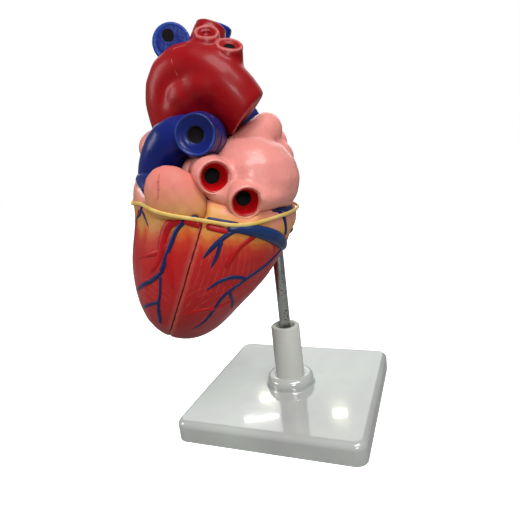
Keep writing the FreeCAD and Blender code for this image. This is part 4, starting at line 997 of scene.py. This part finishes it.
front_veins = {
    "great vein": [(188, 217, 1.5), (182, 224, 1.5), (176, 231, 1.5), (172.5, 241, 1.6),
                   (167.4, 252.7, 1.5), (164.8, 263, 1.5), (161, 274.4, 1.5)],
    "upper fork": [(161, 273, 1.4), (154, 280, 1.4), (146, 283.5, 1.35), (140, 287.5, 1.2),
                   (138, 290, 0.5)],
    "lower run": [(161, 274.4, 1.0), (160.6, 286, 0.9), (160.4, 295, 0.9), (158.5, 303, 1.1),
                  (159, 312, 1.4), (160.4, 321, 1.4), (160, 323.5, 0.6)],
    "lower fork": [(159, 302, 1.1), (152, 303.5, 1.1), (146, 306, 1.1), (143.5, 308.5, 0.5)],
    "edge vein": [(143, 203, 0.9), (142, 212, 1.1), (138.5, 217, 1.0), (135, 222, 0.5)],
    "edge fork": [(142, 209, 1.0), (145, 216, 1.0), (149, 227, 0.35)],
    "groove vein": [(177.5, 215, 0.8), (189, 216.5, 0.95), (199, 218, 0.95)],
}
front_arteries = {
    "descending artery": [(182, 218, 2.2), (174, 220.5, 2.3), (167.5, 227, 2.2), (164, 235, 2.1),
                          (162, 243, 2.0), (161, 251, 1.8), (158, 261, 1.5), (154, 268, 1.2),
                          (151, 273, 0.5)],
    "left branch": [(161, 251, 1.3), (154, 253.5, 1.3), (146.5, 255.5, 0.9), (138, 259, 0.4)],
    "right branch": [(164, 243, 1.4), (168, 254, 1.4), (170, 266, 1.4), (171.6, 277, 1.3),
                     (173, 289, 0.5)],
    "edge artery": [(140, 209, 0.8), (137, 220, 0.7), (134.5, 235, 0.5)],
    "groove artery": [(183, 219, 1.8), (192, 223, 1.8), (201.5, 225.5, 1.6)],
}
rear_veins = {
    "upper vein": [(240, 229, 1.4), (232.4, 231.5, 1.4), (224.8, 236.5, 1.4), (216, 243.8, 1.4),
                   (209, 251, 1.2), (203, 258.5, 0.5)],
    "upper fork": [(222, 240, 1.2), (219, 249, 1.2), (216.5, 257, 1.1), (213, 263, 0.8), (211, 268, 0.4)],
    "long vein": [(282, 247, 1.1), (276, 254.5, 1.1), (267, 263.5, 1.35), (256.7, 271, 1.35),
                  (246.5, 278, 1.3), (239.5, 283.5, 1.3), (232, 288.8, 1.2), (224, 295, 1.2),
                  (218.5, 301.5, 1.1), (214, 309, 1.1), (208, 317.8, 1.2), (201, 324, 0.9),
                  (192, 329, 0.4)],
    "long vein's upper fork": [(246, 278.5, 1.1), (240, 276.8, 1.2), (230, 277, 1.3), (220, 281, 1.15),
                               (213, 285.5, 0.85), (206.5, 289.7, 0.4)],
    "long vein's lower fork": [(229, 291, 0.9), (231, 297, 1.0), (233, 303, 1.05), (231.5, 308, 0.5)],
    "groove vein": [(206.5, 218.5, 0.9), (212, 219, 0.9), (225, 221.5, 0.9), (240, 224.5, 0.9)],
    "small vein": [(272.5, 210, 1.2), (277, 209.5, 1.5), (281, 213.5, 1.5), (284.5, 220, 1.4),
                   (285.5, 228, 1.4), (284.5, 235, 1.6)],
}
rear_arteries = {
    "groove artery": [(206, 226, 1.6), (216, 228.5, 1.6), (226, 231, 1.4), (234, 232, 0.8)],
    "circling artery": [(256, 235.5, 1.1), (247, 241, 1.1), (240, 247, 1.1), (234, 253, 1.4),
                        (229.5, 261, 1.4), (225, 268, 0.5)],
    "edge artery": [(250, 234.5, 0.8), (263, 236.5, 1.1), (271, 240.5, 1.4), (275, 246, 1.2),
                    (273.5, 252, 0.4)],
    "low artery": [(232, 300, 0.9), (221, 306.5, 1.2), (207, 309.5, 1.3), (195, 311, 1.15),
                   (183, 314.5, 0.4)],
}
sinus_points = {
    "coronary sinus": [(226, 229.5, 1.0), (236, 229, 1.9), (246, 229.5, 2.5), (256, 231, 3.0),
                       (266, 233.5, 3.4), (275, 237, 3.6), (281, 242, 3.4), (283, 247, 2.2)],
}
print("routes on the left side:", sum(map(len, (front_veins, front_arteries, rear_veins, rear_arteries))))

# %% [markdown]
# The right coronary artery runs round in the groove to the back and sends branches down over the
# right ventricle. At the back, an artery and the middle vein follow the line between the two
# ventricles towards the tip.

# %% Veins and arteries of the right side and the back
def run(*places):
    """A route from (depth, width, rise, girth) tuples, for the sides that the camera doesn't see."""
    return [(spot(depth, width, rise), girth) for depth, width, rise, girth in places]


right_front_arteries = [
    run((-90, 0, 41.5, 0.8), (-88, 10, 38, 1.6), (-82, 22, 36, 1.8), (-74, 30, 36.5, 1.8), (-66, 36, 36, 1.8),
        (-57, 39, 35.5, 1.7)),
    run((-83, 21, 36, 1.6), (-86, 21, 24, 1.5), (-89, 16, 12, 1.3), (-88, 14, -2, 1.1), (-86, 7, -12, 0.4)),
    run((-68, 35, 36, 1.6), (-70, 36, 22, 1.5), (-75, 31, 8, 1.3), (-75, 28, -8, 1.1), (-72, 21, -20, 0.4)),
    run((-89, 6, 39, 1.4), (-93, 3, 26, 1.3), (-93, -2, 14, 1.1), (-93, -4, 2, 0.9), (-90, -10, -8, 0.4)),
]
right_front_veins = [
    run((-76, 29, 34, 1.1), (-79, 29, 20, 1.1), (-81, 26, 4, 1.1), (-81, 20, -12, 1.0), (-78, 12, -26, 0.5)),
    run((-81, 26, 4, 0.9), (-87, 18, -4, 0.8), (-90, 10, -12, 0.4)),
]
back_arteries = [
    run((-54, 40, 33, 1.7), (-44, 41, 30, 1.8), (-30, 39, 25, 1.8), (-15, 33, 19, 1.8), (-4, 20, 12, 1.6)),
    run((-3, 18, 9, 1.7), (-14, 19, -5, 1.6), (-26, 17, -18, 1.5), (-38, 9, -32, 1.2), (-50, 0, -42, 0.5)),
    run((-12, 21, -2, 1.4), (-24, 28, -3, 1.3), (-36, 28, -12, 1.1), (-48, 28, -16, 0.4)),
    run((-42, 40, 30, 1.4), (-42, 38, 16, 1.3), (-46, 34, 4, 1.1), (-50, 30, -6, 0.4)),
]
back_veins = [
    run((0, 12, 7, 1.3), (-9, 13, -6, 1.3), (-20, 11, -18, 1.2), (-32, 5, -30, 1.1), (-44, -3, -40, 0.9),
        (-54, -11, -45, 0.4)),
    run((-20, 11, -18, 1.0), (-27, 0, -22, 1.0), (-36, -10, -27, 0.9), (-46, -20, -32, 0.4)),
]

# %% Lay every vessel
vein_paint = paint("vein_ink", (0.006, 0.010, 0.075), (0.006, 0.030, 0.12), scale=90, share=0.6, gloss=0.28,
                   bump=0.35, peel=700, coat=0.08, shine=0.25)
artery_paint = paint("artery_ink", (0.46, 0.004, 0.006), (0.34, 0.003, 0.005), scale=90, gloss=0.30,
                     bump=0.25, peel=700, coat=0.08, shine=0.22)
vessels("front_veins", picked(front_veins) + right_front_veins, front_tree, vein_paint, "front")
vessels("front_arteries", picked(front_arteries) + right_front_arteries, front_tree, artery_paint,
        "front", flat=0.34, fuller=1.3)
vessels("rear_veins", picked(rear_veins) + back_veins, rear_tree, vein_paint, "heart")
vessels("rear_arteries", picked(rear_arteries) + back_arteries, rear_tree, artery_paint, "heart",
        flat=0.34, fuller=1.25)
sinus_paint = paint("sinus_ink", (0.006, 0.030, 0.12), (0.006, 0.012, 0.07), scale=60, share=0.6, gloss=0.22,
                    bump=0.35, peel=500, coat=0.15, shine=0.3)
sinus = vessels("coronary_sinus_ridge", picked(sinus_points), rear_tree, sinus_paint, "heart",
                flat=0.75, fuller=1.2)
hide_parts("coronary_sinus")

# %% [markdown]
# ## Lung veins
# Each of the four lung veins is a bright red funnel set in a pink rim, with the dark opening at its
# bottom.

# %% Turned cups
CUP_RED = (0.50, 0.004, 0.006)
DARK_CUP_RED = (0.38, 0.002, 0.003)
CUP_RIM_PINK = (0.75, 0.22, 0.18)
cup_profile = [(0.0, -0.0128), (0.0080, -0.0126), (0.00815, -0.0010), (0.0079, -0.0007), (0.0073, -0.0014),
               (0.0062, -0.0036), (0.0051, -0.0058), (0.0045, -0.0066), (0.0042, -0.0074), (0.0040, -0.0110),
               (0.0, -0.0112)]
for node, (end, outward) in cups.items():
    centre, axis = spot(*end), way(*outward)
    inward = -axis.normalized()
    cup_paint = paint(node + "_paint", CUP_RED, DARK_CUP_RED, scale=70, share=0.6, gloss=0.16, bump=0.2,
                      coat=0.15, shine=0.25,
                      rims=[(centre + inward * 0.0009, axis, 0.0079, 0.0009, CUP_RIM_PINK, 0.35)],
                      holes=[(centre + inward * 0.0100, axis, 0.0047)])
    cup_mesh = bpy.data.meshes.new(node + "_cup")
    cup = joined(as_object(node + "_cup", cup_mesh), [turned_form(cup_profile, centre, axis)])
    dress(cup, cup_paint, "heart", node)
print("cups:", len(cups))

# %% [markdown]
# ## Rubber band
# The front wall is held by a plain rubber band, translucent amber, pulled flat over the mouldings.
# Here it belongs to neither half: its skin is baked where it lies.

# %% Band
band = soft_skin("rubber_band_loop", "rubber_band", 0.00042, 14)
AMBER, DUSTY_AMBER = (0.72, 0.47, 0.075, 1), (0.80, 0.63, 0.24, 1)
band_rubber, band_tree, band_shader, band_place = new_material("amber_rubber")
dust = use_group(band_tree, clouds, band_place, Colour=AMBER, Second=DUSTY_AMBER, Scale=130.0, Share=0.8)
band_skin = use_group(band_tree, lacquer, band_place, Gloss=0.38)
band_tree.links.new(dust.outputs[0], band_shader.inputs["Base Color"])
band_tree.links.new(band_skin.outputs["Roughness"], band_shader.inputs["Roughness"])
band_shader.inputs["Subsurface Weight"].default_value = 0.25
band_shader.inputs["Subsurface Scale"].default_value = 0.001
band.data.materials.clear()
band.data.materials.append(band_rubber)
tuple(spot(-30, 0, 36))
tuple(spot(-74, 0, 36))
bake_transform(band)
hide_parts("rubber_band")

# %% [markdown]
# ## Stand
# The base is moulded in glossy white plastic with a faint grey marbling, the sleeve in
# a duller off-white, and the rod is drawn steel with a thin zinc coat that has begun to spot.

# %% Finishes of the stand
base_plastic = paint("marbled_white_plastic", (0.46, 0.485, 0.455), (0.37, 0.365, 0.365), scale=16, share=0.8,
                     gloss=0.02, bump=0.03, peel=200, waves=26, coat=1.0, coat_rough=0.03, shine=0.6)
sleeve_plastic = paint("off_white_plastic", (0.50, 0.51, 0.47), (0.43, 0.43, 0.40), scale=60, share=0.5,
                       gloss=0.42, bump=0.08, coat=0.05)
ivory_plastic = paint("ivory_plastic", (0.72, 0.60, 0.42), (0.62, 0.50, 0.34), scale=80, share=0.6, gloss=0.4,
                      bump=0.1, coat=0.1)
inner_muscle_paint = paint("inner_muscle_paint", (0.50, 0.10, 0.07), (0.36, 0.05, 0.04), scale=90, share=0.6,
                           gloss=0.3, bump=0.3, coat=0.3)
zinc, zinc_tree, zinc_shader, zinc_place = new_material("spotted_zinc")
spots = put(zinc_tree, "ShaderNodeTexNoise", Scale=900.0, Detail=2.0)
zones = put(zinc_tree, "ShaderNodeTexNoise", Scale=55.0, Detail=2.0)
zinc_tree.links.new(zinc_place, spots.inputs["Vector"])
zinc_tree.links.new(zinc_place, zones.inputs["Vector"])
spotted = calculate(zinc_tree, "MULTIPLY", zones.outputs[0], 0.5)
spotted = calculate(zinc_tree, "ADD", spotted, spots.outputs[0])
spotted = calculate(zinc_tree, "GREATER_THAN", spotted, 0.90)
zinc_colour = blend_colours(zinc_tree, spotted, (0.46, 0.48, 0.46), (0.06, 0.05, 0.04))
zinc_tree.links.new(zinc_colour, zinc_shader.inputs["Base Color"])
zinc_metal = calculate(zinc_tree, "SUBTRACT", 1.0, calculate(zinc_tree, "MULTIPLY", spotted, 0.8))
zinc_tree.links.new(zinc_metal, zinc_shader.inputs["Metallic"])
zinc_rough = calculate(zinc_tree, "ADD", calculate(zinc_tree, "MULTIPLY", zones.outputs[0], 0.18), 0.16)
zinc_tree.links.new(zinc_rough, zinc_shader.inputs["Roughness"])
print("stand finishes: base, sleeve and rod, and two for the inside")

# %% [markdown]
# The base's flat top is one large face beside narrow rounded edges. Marking the edges of the level
# faces as sharp keeps the top a true mirror and leaves the roundness to the edges. The collar is a
# soft bead that hugs the sleeve, so it is turned as a piece of its own and rides on the stand.

# %% Base, sleeve and rod
def smoothed_copy(name, node, angle):
    """A welded copy of a node whose shading is smooth up to an angle, with level faces kept flat."""
    copy = welded(node)
    mesh = bpy.data.meshes.new(name)
    copy.to_mesh(mesh)
    copy.free()
    mesh.shade_smooth()
    mesh.set_sharp_from_angle(angle=math.radians(angle))
    flat = bmesh.new()
    flat.from_mesh(mesh)
    for edge in flat.edges:
        level = [abs(face.normal.z) > LEVEL for face in edge.link_faces]
        if any(level) and not all(level):
            edge.smooth = False
    flat.to_mesh(mesh)
    flat.free()
    return as_object(name, mesh)


LEVEL = 0.99995
dress(smoothed_copy("base_moulding", "base_plate", 62), base_plastic, "stand", "base_plate")
collar_profile = [(0.0, 0.0110), (0.0168, 0.0124), (0.0170, 0.0134), (0.0163, 0.0137), (0.0160, 0.0143),
                  (0.0161, 0.0156), (0.0162, 0.0172), (0.0159, 0.0188), (0.0152, 0.0201),
                  (0.0141, 0.0210), (0.0128, 0.0215), (0.0115, 0.0216), (0.0104, 0.0213),
                  (0.00985, 0.0207), (0.00975, 0.0196), (0.0, 0.0196)]
collar = joined(as_object("collar_bead", bpy.data.meshes.new("collar_bead")),
                [turned_form(collar_profile, Vector((0, 0, 0)), Vector((0, 0, 1)), 72)])
dress(collar, base_plastic, "stand")
dress(smoothed_copy("sleeve_moulding", "support_sleeve", 50), sleeve_plastic, "stand", "support_sleeve")
dress(smoothed_copy("rod_bar", "support_rod", 38), zinc, "rod", "support_rod")

# %% [markdown]
# ## Inside the heart
# The valves, muscles, cords and the rod's socket are small plain mouldings whose frame shapes are
# right as they are, so they only get a finish. The lowest of the three pins is longer than the wall's
# thin tip is deep, so its end, which would stand out of the skin, is cut off just under it.

# %% Register pins
PIN_COVER = 0.0008
pins = welded("register_pins")
tip_skin, tip_way, _, _ = front_tree.find_nearest(spot(-77, -9, -46))
bmesh.ops.bisect_plane(pins, geom=pins.verts[:] + pins.edges[:] + pins.faces[:], plane_no=tip_way,
                       plane_co=tip_skin - tip_way * PIN_COVER, clear_outer=True)
bmesh.ops.holes_fill(pins, edges=pins.edges[:])
pins_mesh = bpy.data.meshes.new("register_pins_moulding")
pins.to_mesh(pins_mesh)
pins.free()
dress(as_object("register_pins_moulding", pins_mesh), ivory_plastic, "heart", "register_pins")
print("pins:", len(pins_mesh.polygons), "faces")

# %% Inner pieces
inner = {ivory_plastic: ["rod_socket", "mitral_valve", "tricuspid_valve", "aortic_valve",
                         "pulmonary_valve", "left_tendinous_cords", "right_tendinous_cords"],
         inner_muscle_paint: ["left_papillary_muscles", "right_papillary_muscles"]}
for finish, names in inner.items():
    for name in names:
        node_mesh = nodes[name].data
        node_mesh.materials.clear()
        node_mesh.materials.append(finish)
print("inner pieces finished:", sum(len(names) for names in inner.values()))
